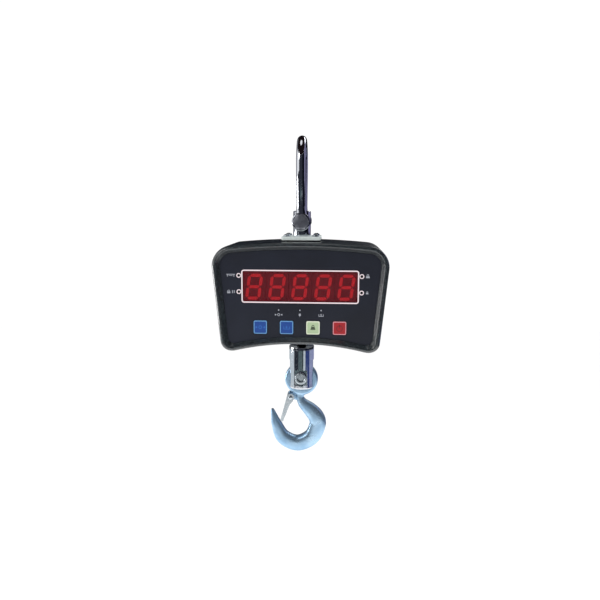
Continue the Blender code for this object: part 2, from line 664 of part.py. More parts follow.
def make_dc_socket(carrier, plastic):
    """A round charging socket whose centre pin stands on the floor of its hole."""
    flange = DC_SOCKET / 2 + 0.0012
    rear = REAR + 0.0012
    hole, pin = DC_SOCKET / 4 + 0.0003, 0.0011
    floor = REAR - 0.009
    socket = turned(((DC_SOCKET / 2, floor - 0.003), (DC_SOCKET / 2, REAR + GAP), (flange, REAR + GAP),
                     (flange, rear), (hole, rear), (hole, floor), (pin, floor), (pin, REAR)),
                    "Y", SMALL_SIDES)
    piece("dc_socket", socket, plastic, carrier, dc_socket_place())


# --- Face pieces ----------------------------------------------------------------------------------
def make_face(carrier, finishes):
    sheet = plate(case_outline(RIM_WIDTH + GAP), PANEL_FRONT, PANEL_FRONT + PANEL_THICKNESS)
    panel = piece("front_panel", sheet, finishes["panel"], carrier)
    cut(panel, *face_openings(FRONT, SEAT + WALL, GAP, WINDOW_CORNER))
    window = plate(rectangle(WINDOW_WIDTH, WINDOW_HEIGHT, WINDOW_CORNER), WINDOW_FRONT,
                   WINDOW_FRONT + WINDOW_THICKNESS)
    piece("display_window", window, finishes["window"], carrier, (0, 0, WINDOW_Z))

    laminate = plate(case_outline(BOARD_EDGE), BOARD_FRONT, BOARD_FRONT + BOARD_THICKNESS)
    board = piece("display_board", laminate, finishes["board"], carrier)
    switch_front = KEY_BACK + KEY_TRAVEL + GAP
    switch = plate(rectangle(SWITCH_SIDE, SWITCH_SIDE, KEY_CORNER), switch_front,
                   BOARD_FRONT + BOARD_THICKNESS / 2)
    add(board, *[(switch, (x, 0, KEY_Z)) for _, x in keys()])

    height = WINDOW_HEIGHT - 2 * WINDOW_LEDGE - 2 * GAP
    for i in range(DIGITS):
        module = block((DIGIT_PITCH - GAP, DIGIT_DEPTH, height))
        x = (i - (DIGITS - 1) / 2) * DIGIT_PITCH
        piece(f"digit_{i + 1}", module, finishes["digit"], carrier,
              (x, DIGIT_FRONT + DIGIT_DEPTH / 2, WINDOW_Z))
    for name, x, z, diameter in lamps():
        radius = diameter / 2
        lamp = turned(((radius, BOARD_FRONT - GAP), (radius, PANEL_FRONT),
                       (radius * 0.6, PANEL_FRONT - radius / 3)), "Y", SMALL_SIDES)
        piece(name, lamp, finishes["lamp"], carrier, (x, 0, z))


def make_keys(finishes):
    front = PANEL_FRONT - KEY_PROUD
    for name, x in keys():
        carrier = joint(f"{name}_axis", (x, front, KEY_Z))
        bevel = 0.0005
        inner = rectangle(KEY_SIDE - 2 * bevel, KEY_SIDE - 2 * bevel, KEY_CORNER)
        outer = rectangle(KEY_SIDE, KEY_SIDE, KEY_CORNER)
        layers = ((inner, 0), (outer, bevel), (outer, KEY_THICKNESS))
        cap = loft([[Vector((px, y, pz)) for px, pz in outline] for outline, y in layers])
        piece(name, cap, finishes[name], carrier, (x, front, KEY_Z))


# --- Load cell and boards -------------------------------------------------------------------------
def make_load_cell(carrier, steel):
    """An S-shaped block: two slots from opposite sides leave a bending beam around a bore."""
    cell = piece("load_cell", block((CELL_WIDTH, CELL_DEPTH, CELL_HEIGHT)), steel, carrier, (0, 0, CELL_Z))
    deep = 2 * CELL_DEPTH
    level = CELL_HEIGHT / 2 - STUD_ENGAGED - 2 * CELL_SLOT
    slot_length = CELL_WIDTH * 0.8
    slot = block((slot_length, deep, CELL_SLOT))
    shift = (CELL_WIDTH - slot_length) / 2 + CELL_SLOT
    cut(cell, (slot, (shift, 0, CELL_Z + level)), (slot, (-shift, 0, CELL_Z - level)),
        (rod(CELL_BORE, -deep, deep, "Y"), (0, 0, CELL_Z)))
    engaged = STUD_ENGAGED + 2 * GAP
    thread = rod(STUD + 2 * GAP, 0, 2 * engaged)
    cut(cell, (thread, (0, 0, CELL_TOP - engaged)), (thread, (0, 0, CELL_UNDER - engaged)))


def make_main_board(carrier, board, plastic):
    display_back = BOARD_FRONT + BOARD_THICKNESS
    centre_y = display_back + MAIN_BOARD_SETBACK
    x, z = -MAIN_BOARD_OUT, CELL_Z
    main = piece("main_board", block(MAIN_BOARD), board, carrier, (x, centre_y, z))
    header = plate(rectangle(*HEADER, corner=HEADER[1] / 10), display_back + GAP, centre_y)
    chip = block(CHIP)
    chip_y = centre_y + MAIN_BOARD[1] / 2 + CHIP[1] / 2 - GAP
    add(main, (header, (x, 0, z + HEADER_UP)), (chip, (x, chip_y, z)))
    piece("buzzer", rod(BUZZER, GAP, BUZZER_HEIGHT, "Y", SMALL_SIDES), plastic, carrier,
          (-x, display_back, z))


# --- Swivel ---------------------------------------------------------------------------------------
def washer(outer, inner, top, thickness):
    under = top - thickness
    return turned(((outer / 2, top), (outer / 2, under), (inner / 2, under), (inner / 2, top)), hollow=True)


def make_stud(carrier, steel):
    top = CELL_UNDER + STUD_ENGAGED
    piece("swivel_stud", turned((
        (STUD / 2, top), (STUD / 2, STUD_HEAD_TOP), (STUD_HEAD / 2, STUD_HEAD_TOP),
        (STUD_HEAD / 2, STUD_HEAD_UNDER))), steel, carrier)
    nut = hex_nut(LOCK_NUT_HEX, STUD + 2 * GAP, -GAP - LOCK_NUT_THICKNESS, -GAP, "Z")
    piece("stud_lock_nut", nut, steel, carrier, (0, 0, CELL_UNDER))
    lower = BALL_Z - BALL / 2 - GAP
    piece("thrust_washer_lower", washer(STUD_HEAD, STUD + 2 * GAP, lower, WASHER), steel, carrier)


def make_ball_cage(carrier, brass):
    across = (STUD_HEAD + STUD) / 2
    half = BALL / 4
    outer, inner = across / 2 + BALL * 0.7, across / 2 - BALL * 0.7
    ring = turned(((outer, half), (outer, -half), (inner, -half), (inner, half)), hollow=True)
    cage = piece("ball_cage", ring, brass, carrier, (0, 0, BALL_Z))
    arc = [math.pi * k / 4 for k in range(1, 4)]
    ball = turned([(BALL / 2 * math.sin(a), -BALL / 2 * math.cos(a)) for a in arc], sides=6)
    places = []
    for i in range(BALLS):
        angle = 2 * math.pi * i / BALLS
        places.append((ball, (across / 2 * math.cos(angle), across / 2 * math.sin(angle), BALL_Z)))
    add(cage, *places)


def make_clevis(carrier, finishes):
    half = CLEVIS / 2
    chamfer = CLEVIS_CHAMFER
    clevis = piece("clevis", turned(((half, CLEVIS_TOP), (half, CLEVIS_UNDER + chamfer),
                                     (half - chamfer, CLEVIS_UNDER))), finishes["chrome"], carrier)
    slot_top = STUD_HEAD_UNDER - GAP
    slot_height = slot_top - CLEVIS_UNDER + 2 * chamfer
    bore_depth = CLEVIS_TOP - slot_top + 2 * chamfer
    flat = block((2 * half, CLEVIS_FLAT * 2, CLEVIS_BOLT_HEAD + 2 * chamfer))
    cut(clevis, (block((3 * half, SLOT_WIDTH, slot_height)), (0, 0, slot_top - slot_height / 2)))
    cut(clevis, (flat, (0, -half, CLEVIS_BOLT_Z)), (flat, (0, half, CLEVIS_BOLT_Z)))
    cut(clevis, (rod(CLEVIS_BOLT + 2 * GAP, -CLEVIS, CLEVIS, "Y"), (0, 0, CLEVIS_BOLT_Z)))
    bore = rod(CLEVIS_BORE, CLEVIS_TOP - bore_depth, CLEVIS_TOP + chamfer)
    cut(clevis, (bore, (0, 0, 0)))

    hole = STUD / 2 + SLIDE
    plug = CLEVIS_BORE / 2 - GAP
    flange_under = CAP_TOP - CAP_FLANGE
    cap = turned(((half, CAP_TOP), (half, flange_under), (plug, flange_under), (plug, CAP_UNDER),
                  (hole, CAP_UNDER), (hole, CAP_TOP)), hollow=True)
    piece("swivel_cap", cap, finishes["chrome"], carrier)
    upper = washer(2 * plug, STUD + 2 * SLIDE, CAP_UNDER - GAP, WASHER)
    piece("thrust_washer_upper", upper, finishes["steel"], carrier)

    face = half - CLEVIS_FLAT + GAP
    head = CLEVIS_BOLT_HEAD
    high = CLEVIS_BOLT_HEAD_HEIGHT
    bevel = 0.001
    bolt = piece("clevis_bolt", turned((
        (head / 2 - bevel, -face - high), (head / 2, -face - high + bevel), (head / 2, -face),
        (CLEVIS_BOLT / 2, -face), (CLEVIS_BOLT / 2, face - 2 * GAP),
        (CLEVIS_THREAD / 2, face - 2 * GAP), (CLEVIS_THREAD / 2, face + CLEVIS_NUT_THICKNESS + bevel)),
        "Y"), finishes["steel"], carrier, (0, 0, CLEVIS_BOLT_Z))
    cut(bolt, (hexagon(CLEVIS_SOCKET, -face - 2 * high, -face - high * 0.3), (0, 0, CLEVIS_BOLT_Z)))
    nut = hex_nut(CLEVIS_BOLT_HEAD - bevel, CLEVIS_THREAD + 2 * GAP, face, face + CLEVIS_NUT_THICKNESS)
    piece("clevis_nut", nut, finishes["steel"], carrier, (0, 0, CLEVIS_BOLT_Z))


# --- Hook and latch -------------------------------------------------------------------------------
def smooth_sections(sections, steps):
    """Passes a smooth curve (Catmull-Rom) through the rows of a table of sections."""
    rows = []
    last = len(sections) - 1
    for i in range(last):
        around = [Vector(sections[min(max(i + k, 0), last)]) for k in (-1, 0, 1, 2)]
        p0, p1, p2, p3 = around
        for step in range(steps):
            t = step / steps
            rows.append(0.5 * (2 * p1 + (p2 - p0) * t + (2 * p0 - 5 * p1 + 4 * p2 - p3) * t ** 2
                               + (3 * p1 - p0 - 3 * p2 + p3) * t ** 3))
    return rows + [Vector(sections[last])]


def hook_body(sides=12, fullness=2.5):
    """The hook below its eye: rounded sections square to a curve in the XZ plane."""
    rows = smooth_sections(HOOK_SECTIONS, HOOK_STEPS)
    rings = []
    for i, (x, z, width, thickness) in enumerate(rows):
        before, after = rows[max(i - 1, 0)], rows[min(i + 1, len(rows) - 1)]
        along = Vector((after[0] - before[0], 0, after[1] - before[1])).normalized()
        across = Vector((along.z, 0, -along.x))
        ring = []
        for k in range(sides):
            angle = 2 * math.pi * k / sides
            c, s = math.cos(angle), math.sin(angle)
            swell = (abs(c) ** fullness + abs(s) ** fullness) ** (-1 / fullness)
            ring.append(Vector((x, 0, z)) + across * (width / 2 * c * swell)
                        + Vector((0, thickness / 2 * s * swell, 0)))
        rings.append(ring)
    return loft(rings)


def make_hook(carrier, steel):
    half = HOOK_EYE_THICKNESS / 2
    soft = 0.003
    rim, hole = HOOK_EYE, HOOK_EYE_HOLE
    eye = turned(((rim - soft, -half), (rim, soft - half), (rim, half - soft), (rim - soft, half),
                  (hole + soft, half), (hole, half - soft), (hole, soft - half), (hole + soft, -half)),
                 "Y", SIDES, hollow=True)
    hook = piece("hook", eye, steel, carrier, (0, 0, EYE_Z))
    lug_reach = -LATCH_X
    lug = block((lug_reach, LUG_THICKNESS, LUG_HEIGHT))
    lug_end = rod(LUG_HEIGHT, -LUG_THICKNESS / 2, LUG_THICKNESS / 2, "Y", SMALL_SIDES)
    add(hook, (hook_body(), (0, 0, HOOK_BASE)))
    add(hook, (lug, (LATCH_X + lug_reach / 2, 0, LATCH_Z)))
    add(hook, (lug_end, (LATCH_X, 0, LATCH_Z)))
    cut(hook, (rod(LATCH_PIN + 2 * GAP, -half, half, "Y", SMALL_SIDES), (LATCH_X, 0, LATCH_Z)))
    outer = LATCH_WIDTH / 2 + GAP
    head, head_radius = 0.0012, LATCH_PIN * 0.8
    pin = turned(((head_radius, -outer - head), (head_radius, -outer), (LATCH_PIN / 2, -outer),
                  (LATCH_PIN / 2, outer), (head_radius, outer), (head_radius, outer + head)),
                 "Y", SMALL_SIDES)
    piece("latch_pin", pin, steel, carrier, (LATCH_X, 0, LATCH_Z))


def latch_side():
    """(x, z) outline of the closed latch seen from the front, around its pivot."""
    down = Vector((-math.sin(LATCH_LEAN), -math.cos(LATCH_LEAN)))
    left = Vector((down.y, -down.x))
    points = []
    for k in range(9):
        angle = math.pi * k / 8
        points.append(tuple(left * (LATCH_HEAD * math.cos(angle)) - down * (LATCH_HEAD * math.sin(angle))))
    tip = down * LATCH_LENGTH + left * (LATCH_HEAD - 0.0028)
    waist = down * (LATCH_LENGTH * 0.28)
    points.append(tuple(waist - left * (LATCH_HEAD * 0.45)))
    points.append(tuple(tip - left * LATCH_TIP))
    points.append(tuple(tip))
    return points, down, left


def make_latch(carrier, sheet, steel):
    points, down, left = latch_side()
    pivot = (LATCH_X, 0, LATCH_Z)
    half = LATCH_WIDTH / 2
    latch = piece("latch", plate(points, -half, half), sheet, carrier, pivot)
    inner = half - LATCH_SHEET
    channel = [tuple(Vector(point) - left * LATCH_SHEET) for point in points]
    room, below = 2.2 * LATCH_HEAD, 1.3 * LATCH_HEAD
    window = [tuple(left * side + down * drop) for side, drop in
              ((-room, -room), (room, -room), (room, below), (-room, below))]
    cut(latch, (plate(channel, -inner, inner), pivot))
    cut(latch, (plate(window, -inner, inner), pivot))
    cut(latch, (rod(LATCH_PIN + 2 * GAP, -LATCH_WIDTH, LATCH_WIDTH, "Y", SMALL_SIDES), pivot))

    coil_radius = LATCH_PIN / 2 + SPRING_WIRE / 2 + SLIDE
    pitch = SPRING_WIRE + 2 * GAP
    start = -inner + SPRING_WIRE / 2 + GAP
    path = []
    per_turn = 8
    for i in range(SPRING_TURNS * per_turn + 1):
        turn = 2 * math.pi * i / per_turn
        across, up = coil_radius * math.cos(turn), coil_radius * math.sin(turn)
        path.append((across, start + pitch * i / per_turn, up))
    curve = bpy.data.curves.new("latch_spring", "CURVE")
    curve.dimensions = "3D"
    curve.bevel_depth = SPRING_WIRE / 2
    curve.bevel_resolution = 1
    curve.use_fill_caps = True
    spline = curve.splines.new("POLY")
    spline.points.add(len(path) - 1)
    for point, place in zip(spline.points, path):
        point.co = (*place, 1)
    piece("latch_spring", curve, steel, carrier, pivot)


def main():
    for old in list(bpy.data.objects):
        bpy.data.objects.remove(old)
    finishes = {
        "chrome": finish("chrome", (0.75, 0.76, 0.78), 0.12, 1.0),
        "steel": finish("steel", (0.62, 0.63, 0.65), 0.3, 1.0),
        "zinc": finish("zinc", (0.72, 0.73, 0.72), 0.35, 1.0),
        "casting": finish("painted_casting", (0.06, 0.065, 0.06), 0.6),
        "panel": finish("panel", (0.025, 0.03, 0.05), 0.45),
        "window": finish("window", (0.30, 0.01, 0.02), 0.1),
        "digit": finish("digit", (0.10, 0.02, 0.02), 0.5),
        "lamp": finish("lamp", (0.80, 0.78, 0.76), 0.3),
        "key_zero": finish("blue_key", (0.02, 0.12, 0.42), 0.4),
        "key_tare": finish("blue_key_two", (0.02, 0.12, 0.42), 0.4),
        "key_hold": finish("green_key", (0.50, 0.66, 0.50), 0.4),
        "key_power": finish("red_key", (0.55, 0.02, 0.03), 0.4),
        "board": finish("board", (0.02, 0.14, 0.06), 0.5),
        "plastic": finish("black_plastic", (0.02, 0.02, 0.02), 0.5),
        "rubber": finish("rubber", (0.015, 0.015, 0.015), 0.8),
        "brass": finish("brass", (0.70, 0.50, 0.20), 0.3, 1.0),
    }
    shackle = joint("shackle_axis", (0, 0, 0))
    case = joint("shackle_pivot_axis", (0, 0, BOLT_Z))
    cage = joint("cage_axis", (0, 0, BALL_Z))
    clevis = joint("swivel_axis", (0, 0, CLEVIS_BOLT_Z))
    hook = joint("hook_pivot_axis", (0, 0, CLEVIS_BOLT_Z))
    latch = joint("latch_pivot_axis", (LATCH_X, 0, LATCH_Z))

    make_shackle(shackle, finishes["chrome"])
    make_post(case, finishes["chrome"])
    make_top_plate(case, finishes["zinc"], finishes["rubber"])
    make_housing(case, finishes["casting"])
    make_rear_cover(case, finishes["casting"], finishes["rubber"], finishes["zinc"])
    make_battery(case, finishes["casting"], finishes["plastic"], finishes["zinc"])
    make_dc_socket(case, finishes["plastic"])
    make_face(case, finishes)
    make_keys(finishes)
    make_load_cell(case, finishes["steel"])
    make_main_board(case, finishes["board"], finishes["plastic"])
    make_stud(case, finishes["steel"])
    make_ball_cage(cage, finishes["brass"])
    make_clevis(clevis, finishes)
    make_hook(hook, finishes["zinc"])
    make_latch(latch, finishes["zinc"], finishes["steel"])


main()
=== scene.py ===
# %% [markdown]
# # Dressing a hanging crane scale
#
# The solids, sizes and joints of this crane scale already exist as a plain model. This lesson
# builds the surface that people see around it: chrome, hammered enamel, printed film, tinted
# acrylic and zinc. Every piece is made in the plain model's own metres and rides on the body
# that carries the piece it stands for, so nothing has to be fitted afterwards.
#
# We first load the plain model and note its overall box, which the finished one must keep.

# %% Load the plain model
import json
import math

import bmesh
import bpy
from mathutils import Matrix, Vector


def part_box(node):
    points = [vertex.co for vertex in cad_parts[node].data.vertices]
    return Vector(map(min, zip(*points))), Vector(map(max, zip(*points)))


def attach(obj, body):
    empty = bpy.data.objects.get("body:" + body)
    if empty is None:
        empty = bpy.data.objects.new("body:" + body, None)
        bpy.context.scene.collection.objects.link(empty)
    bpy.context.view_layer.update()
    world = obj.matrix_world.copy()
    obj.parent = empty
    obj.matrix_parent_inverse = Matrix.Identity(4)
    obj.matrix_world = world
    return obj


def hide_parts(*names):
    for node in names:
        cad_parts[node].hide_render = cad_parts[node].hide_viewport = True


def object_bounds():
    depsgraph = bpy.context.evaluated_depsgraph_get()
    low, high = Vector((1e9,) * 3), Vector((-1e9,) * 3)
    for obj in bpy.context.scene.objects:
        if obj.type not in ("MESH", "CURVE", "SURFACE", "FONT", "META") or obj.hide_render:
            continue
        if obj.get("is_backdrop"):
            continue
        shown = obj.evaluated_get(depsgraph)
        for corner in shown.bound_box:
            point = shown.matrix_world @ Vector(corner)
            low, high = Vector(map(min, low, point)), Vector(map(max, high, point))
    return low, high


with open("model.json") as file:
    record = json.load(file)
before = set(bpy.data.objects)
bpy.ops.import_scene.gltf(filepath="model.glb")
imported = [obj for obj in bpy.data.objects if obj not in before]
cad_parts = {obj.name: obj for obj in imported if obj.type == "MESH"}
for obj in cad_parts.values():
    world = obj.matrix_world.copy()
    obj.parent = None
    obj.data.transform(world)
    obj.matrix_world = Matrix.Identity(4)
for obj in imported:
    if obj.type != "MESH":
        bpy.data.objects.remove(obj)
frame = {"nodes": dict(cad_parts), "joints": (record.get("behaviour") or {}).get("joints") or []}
plain_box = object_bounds()
MM = 0.001
CLEAR = 0.3 * MM
scene = bpy.context.scene

# %% [markdown]
# ## Places from the plain model
#
# Sizes are read from the pieces' boxes and from the joints, rather than typed twice. A box
# gives a piece's lowest and highest corner, and a joint gives the axis its bodies turn on.

# %% Read places
pivot = {joint["name"]: Vector(joint["pos_m"]) for joint in frame["joints"] if "pos_m" in joint}


def low(node):
    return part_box(node)[0]


def high(node):
    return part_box(node)[1]


def middle(node):
    return (low(node) + high(node)) / 2


def size(node):
    return high(node) - low(node)


BOLT_Z = pivot["shackle_pivot"].z
CLEVIS_BOLT_Z = pivot["hook_pivot"].z
LATCH = pivot["latch_pivot"]
FRONT, REAR = low("front_housing").y, high("rear_cover").y
CASE_TOP = high("front_housing").z
PANEL = low("front_panel").y
print(f"case front at y {FRONT / MM:.1f} mm, face film at y {PANEL / MM:.1f} mm")

# %% [markdown]
# ## Camera
#
# The scale is seen from a little to its right and a little above, from under a metre away, so
# that its sides converge slightly. The lens and the distance go together: a longer lens from
# further off would show the same size with flatter perspective.

# %% Place the camera
LOOK_AT = Vector((-0.0026, 0, -0.2162))
DISTANCE = 0.862
TURN, RISE, ROLL = math.radians(3.5), math.radians(9), math.radians(0.15)

away = Vector((math.sin(TURN) * math.cos(RISE), -math.cos(TURN) * math.cos(RISE), math.sin(RISE)))
camera = bpy.data.objects.new("camera", bpy.data.cameras.new("camera"))
camera.data.sensor_width = 36
camera.data.lens = 36
camera.location = LOOK_AT + DISTANCE * away
rolled = Matrix.Rotation(ROLL, 4, "Z").to_quaternion()
camera.rotation_euler = (away.to_track_quat("Z", "Y") @ rolled).to_euler()
scene.collection.objects.link(camera)
scene.camera = camera
print(f"camera at {[round(v, 3) for v in camera.location]}")

# %% [markdown]
# ## Nodes and colours
#
# Three helpers serve every finish. Colours are written as sRGB hex codes, as a paint chart gives
# them, and the first turns them to the linear values that shaders work in. The second adds one
# node with its settings and its links, and the third makes a whole material from such nodes.

# %% Helpers for finishes
def colour(code):
    """An sRGB hex code, such as #2b2f3b, as a linear RGBA colour."""
    channels = [int(code[i:i + 2], 16) / 255 for i in (1, 3, 5)]
    return (*[c / 12.92 if c <= 0.04045 else ((c + 0.055) / 1.055) ** 2.4 for c in channels], 1.0)


def add_node(tree, kind, inputs=(), **settings):
    """Adds a node. inputs maps a socket's name or number to a value, or to a socket that feeds it."""
    made = tree.nodes.new(kind)
    for name, value in settings.items():
        setattr(made, name, value)
    for socket, value in dict(inputs).items():
        if isinstance(value, bpy.types.NodeSocket):
            tree.links.new(value, made.inputs[socket])
        else:
            made.inputs[socket].default_value = value
    return made


def new_finish(name, base, roughness, tones, grain, detail=2.0, patches=None, polish=None,
               relief=None, **more):
    """A material whose colour drifts between two tones, in clouds of one grain.

    more names further sockets of the shader. patches is the range of the noise that mixes the
    tones. polish is that of the roughness, with its least and most. relief is (grain, detail,
    strength, depth), and a relief without detail has round cells."""
    material = bpy.data.materials.new(name)
    material.use_nodes = True
    tree = material.node_tree
    shader = tree.nodes["Principled BSDF"]
    values = {"Base Color": colour(base), "Roughness": roughness}
    values.update({socket.replace("_", " "): value for socket, value in more.items()})
    for socket, value in values.items():
        shader.inputs[socket].default_value = value
    place = add_node(tree, "ShaderNodeTexCoord").outputs["Object"]

    def noise(size, fineness):
        inputs = {"Vector": place, "Scale": 1 / size, "Detail": fineness}
        return add_node(tree, "ShaderNodeTexNoise", inputs).outputs[0]

    def ranged(start, end, least=0.0, most=1.0):
        inputs = {"Value": cloud, "From Min": start, "From Max": end, "To Min": least, "To Max": most}
        return add_node(tree, "ShaderNodeMapRange", inputs).outputs[0]

    cloud = noise(grain, detail)
    share = ranged(*patches) if patches else cloud
    tone = add_node(tree, "ShaderNodeMix", {0: share, 6: colour(tones[0]), 7: colour(tones[1])},
                    data_type="RGBA")
    tree.links.new(tone.outputs[2], shader.inputs["Base Color"])
    if polish:
        tree.links.new(ranged(*polish), shader.inputs["Roughness"])
    if relief:
        size, fineness, strength, depth = relief
        if fineness is None:
            height = add_node(tree, "ShaderNodeTexVoronoi", {"Vector": place, "Scale": 1 / size},
                              feature="SMOOTH_F1").outputs["Distance"]
        else:
            height = noise(size, fineness)
        bump = add_node(tree, "ShaderNodeBump", {"Height": height, "Strength": strength,
                                                 "Distance": depth})
        tree.links.new(bump.outputs[0], shader.inputs["Normal"])
    return material


# %% [markdown]
# ## A pale studio
#
# A white surround and a pale floor light the scale evenly from everywhere. Chrome shows only
# what stands around it, so curved cards stand around the scale out of the camera's sight: a
# soft light on the left, and dark ones in front and on the right that draw the bands which
# make a plated bar look polished. They are seen by reflections alone.

# %% Floor and surround
FLOOR_Z = -0.95
FLOOR_REACH = 4.0

world = bpy.data.worlds.new("pale_surround")
world.use_nodes = True
surround = world.node_tree.nodes["Background"].inputs
surround["Color"].default_value = colour("#ffffff")
surround["Strength"].default_value = 1.04
scene.world = world
scene.view_settings.view_transform = "Standard"

plaster = new_finish("white_plaster", "#fdfdfd", 0.9, ("#fcfcfc", "#ffffff"), 80 * MM)

floor_mesh = bpy.data.meshes.new("floor")
floor_shape = bmesh.new()
bmesh.ops.create_circle(floor_shape, cap_ends=True, segments=64, radius=FLOOR_REACH)
floor_shape.to_mesh(floor_mesh)
floor_shape.free()
floor = bpy.data.objects.new("floor", floor_mesh)
floor.location.z = FLOOR_Z
floor.data.materials.append(plaster)
scene.collection.objects.link(floor)
floor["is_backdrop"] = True
print("floor and surround ready")

# %% Cards that the chrome reflects
CARD_RADIUS = 1.15


def add_card(name, start, end, bottom, top, code, strength=1.0, inner=CARD_RADIUS):
    """A curved card. Angles in degrees round the scale, from 0 in front, positive to its right.
    With a smaller inner radius at its foot it leans in, and at one height it lies flat."""
    shape = bmesh.new()
    columns = []
    for i in range(25):
        angle = math.radians(start + (end - start) * i / 24)
        columns.append([shape.verts.new((reach * math.sin(angle), -reach * math.cos(angle), z))
                        for reach, z in ((inner, bottom), (CARD_RADIUS, top))])
    for left, right in zip(columns, columns[1:]):
        shape.faces.new((left[0], right[0], right[1], left[1]))
    mesh = bpy.data.meshes.new(name)
    shape.to_mesh(mesh)
    shape.free()
    material = bpy.data.materials.new(name)
    material.use_nodes = True
    lit = material.node_tree
    lit.nodes.clear()
    glow = add_node(lit, "ShaderNodeEmission", {"Color": colour(code), "Strength": strength})
    add_node(lit, "ShaderNodeOutputMaterial", {"Surface": glow.outputs[0]})
    mesh.materials.append(material)
    made = bpy.data.objects.new(name, mesh)
    made.visible_camera = made.visible_diffuse = made.visible_shadow = False
    made.visible_transmission = made.visible_volume_scatter = False
    scene.collection.objects.link(made)
    made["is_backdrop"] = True


TOP, SHOULDER, WAIST, HEM, FLOOR_EDGE = 0.70, -0.20, -0.54, -0.71, -0.94
add_card("soft_light_left", -104, -82, WAIST, SHOULDER, "#ffffff", 13.0)
add_card("floor_light", 0, 360, FLOOR_EDGE, FLOOR_EDGE, "#ffffff", 1.4, inner=0.25)
for card in (
        ("high_left_card", -150, -101, SHOULDER, TOP, "#8d8e94"),
        ("high_back_card", -180, -150, SHOULDER, TOP, "#1c1e26"),
        ("high_front_card", -40, 36, SHOULDER, TOP, "#34363f"),
        ("high_right_card", 36, 94, SHOULDER, TOP, "#10111c"),
        ("high_side_card", 94, 145, SHOULDER, TOP, "#8a87a6"),
        ("high_rear_card", 145, 180, SHOULDER, TOP, "#1c1e26"),
        ("middle_left_card", -180, -104, WAIST, SHOULDER, "#1c2026"),
        ("middle_near_card", -82, -40, WAIST, SHOULDER, "#23262c"),
        ("middle_front_card", -40, 36, WAIST, SHOULDER, "#34363f"),
        ("middle_right_card", 36, 180, WAIST, SHOULDER, "#12141c"),
        ("low_pale_card", -180, -70, HEM, WAIST, "#cdd7db"),
        ("low_left_card", -70, -26, HEM, WAIST, "#2b3038"),
        ("low_front_card", -26, 12, HEM, WAIST, "#5a6a6c"),
        ("low_line_card", 12, 19, HEM, WAIST, "#16181a"),
        ("low_light_card", 19, 38, HEM, WAIST, "#cdd8dc"),
        ("low_right_card", 38, 80, HEM, WAIST, "#3b4a7e"),
        ("low_side_card", 80, 180, HEM, WAIST, "#9da3c4"),
        ("hem_right_card", 60, 180, FLOOR_EDGE, HEM, "#10141f"),
):
    add_card(*card)
add_card("overhead_card", 0, 360, TOP, TOP, "#1c1416", inner=0.2)

# %% Lamps
def add_area_light(name, place, aim, side, power):
    light = bpy.data.lights.new(name, "AREA")
    light.size = side
    light.energy = power
    lamp = bpy.data.objects.new(name, light)
    lamp.location = place
    lamp.rotation_euler = (Vector(place) - Vector(aim)).to_track_quat("Z", "Y").to_euler()
    scene.collection.objects.link(lamp)


add_area_light("key_light", (-0.75, -0.85, 0.45), (0, 0, -0.2), 0.45, 3)
add_area_light("rear_light", (0.6, 1.0, 0.5), (0, 0, -0.2), 0.6, 4)
print("studio ready")

# %% [markdown]
# ## Making meshes
#
# Most of the scale is turned, bent or extruded, so nearly every shape can be made as a skin
# over equal rings of points. Turned pieces are rings of circles, plates are rings of outlines,
# and a bent bar is a ring carried along a path. Booleans then cut the slots and bores, and a
# small bevel eases the edges, because no real edge is perfectly sharp and an eased one catches
# the light.

# %% Helpers for shapes
def sharpened(mesh, angle=32):
    """Smooth shading, with the edges over an angle kept sharp."""
    mesh.shade_smooth()
    mesh.set_sharp_from_angle(angle=math.radians(angle))
    return mesh


def skin(rings, closed=False):
    """Skins equal rings of points, with the ends capped, or joined to each other if closed."""
    shape = bmesh.new()
    skins = [[shape.verts.new(point) for point in ring] for ring in rings]
    count = len(rings[0])
    pairs = list(zip(skins, skins[1:]))
    if closed:
        pairs.append((skins[-1], skins[0]))
    else:
        shape.faces.new(skins[0])
        shape.faces.new(skins[-1])
    for first, second in pairs:
        for i in range(count):
            j = (i + 1) % count
            shape.faces.new((first[i], first[j], second[j], second[i]))
    bmesh.ops.recalc_face_normals(shape, faces=shape.faces)
    mesh = bpy.data.meshes.new("skin")
    shape.to_mesh(mesh)
    shape.free()
    return sharpened(mesh)


AXES = {"X": Matrix.Rotation(math.pi / 2, 4, "Y"), "Y": Matrix.Rotation(-math.pi / 2, 4, "X"),
        "Z": Matrix.Identity(4)}


def turned(profile, axis="Z", sides=72, hollow=False):
    """Turns (radius, along) points about an axis. A hollow profile goes all round its wall."""
    angles = [2 * math.pi * (i + 0.5) / sides for i in range(sides)]
    rings = [[Vector((r * math.cos(a), r * math.sin(a), along)) for a in angles] for r, along in profile]
    mesh = skin(rings, closed=hollow)
    mesh.transform(AXES[axis])
    return mesh


def rod(diameter, start, end, axis="Z", sides=48):
    return turned(((diameter / 2, start), (diameter / 2, end)), axis, sides)


def arc(centre, radius, start, end, steps=6):
    """Points of an arc, with angles in degrees."""
    angles = [math.radians(start + (end - start) * i / steps) for i in range(steps + 1)]
    return [(centre[0] + radius * math.cos(a), centre[1] + radius * math.sin(a)) for a in angles]


def rounded_box(width, height, corner, steps=6):
    """(x, z) outline of a rectangle with round corners."""
    x, z = width / 2 - corner, height / 2 - corner
    points = []
    for cx, cz, start in ((x, z, 0), (-x, z, 90), (-x, -z, 180), (x, -z, 270)):
        points += arc((cx, cz), corner, start, start + 90, steps)
    return points


def disc(radius, x=0.0, z=0.0, sides=40, turn=0.0):
    angles = [2 * math.pi * i / sides + turn for i in range(sides)]
    return [(x + radius * math.cos(a), z + radius * math.sin(a)) for a in angles]


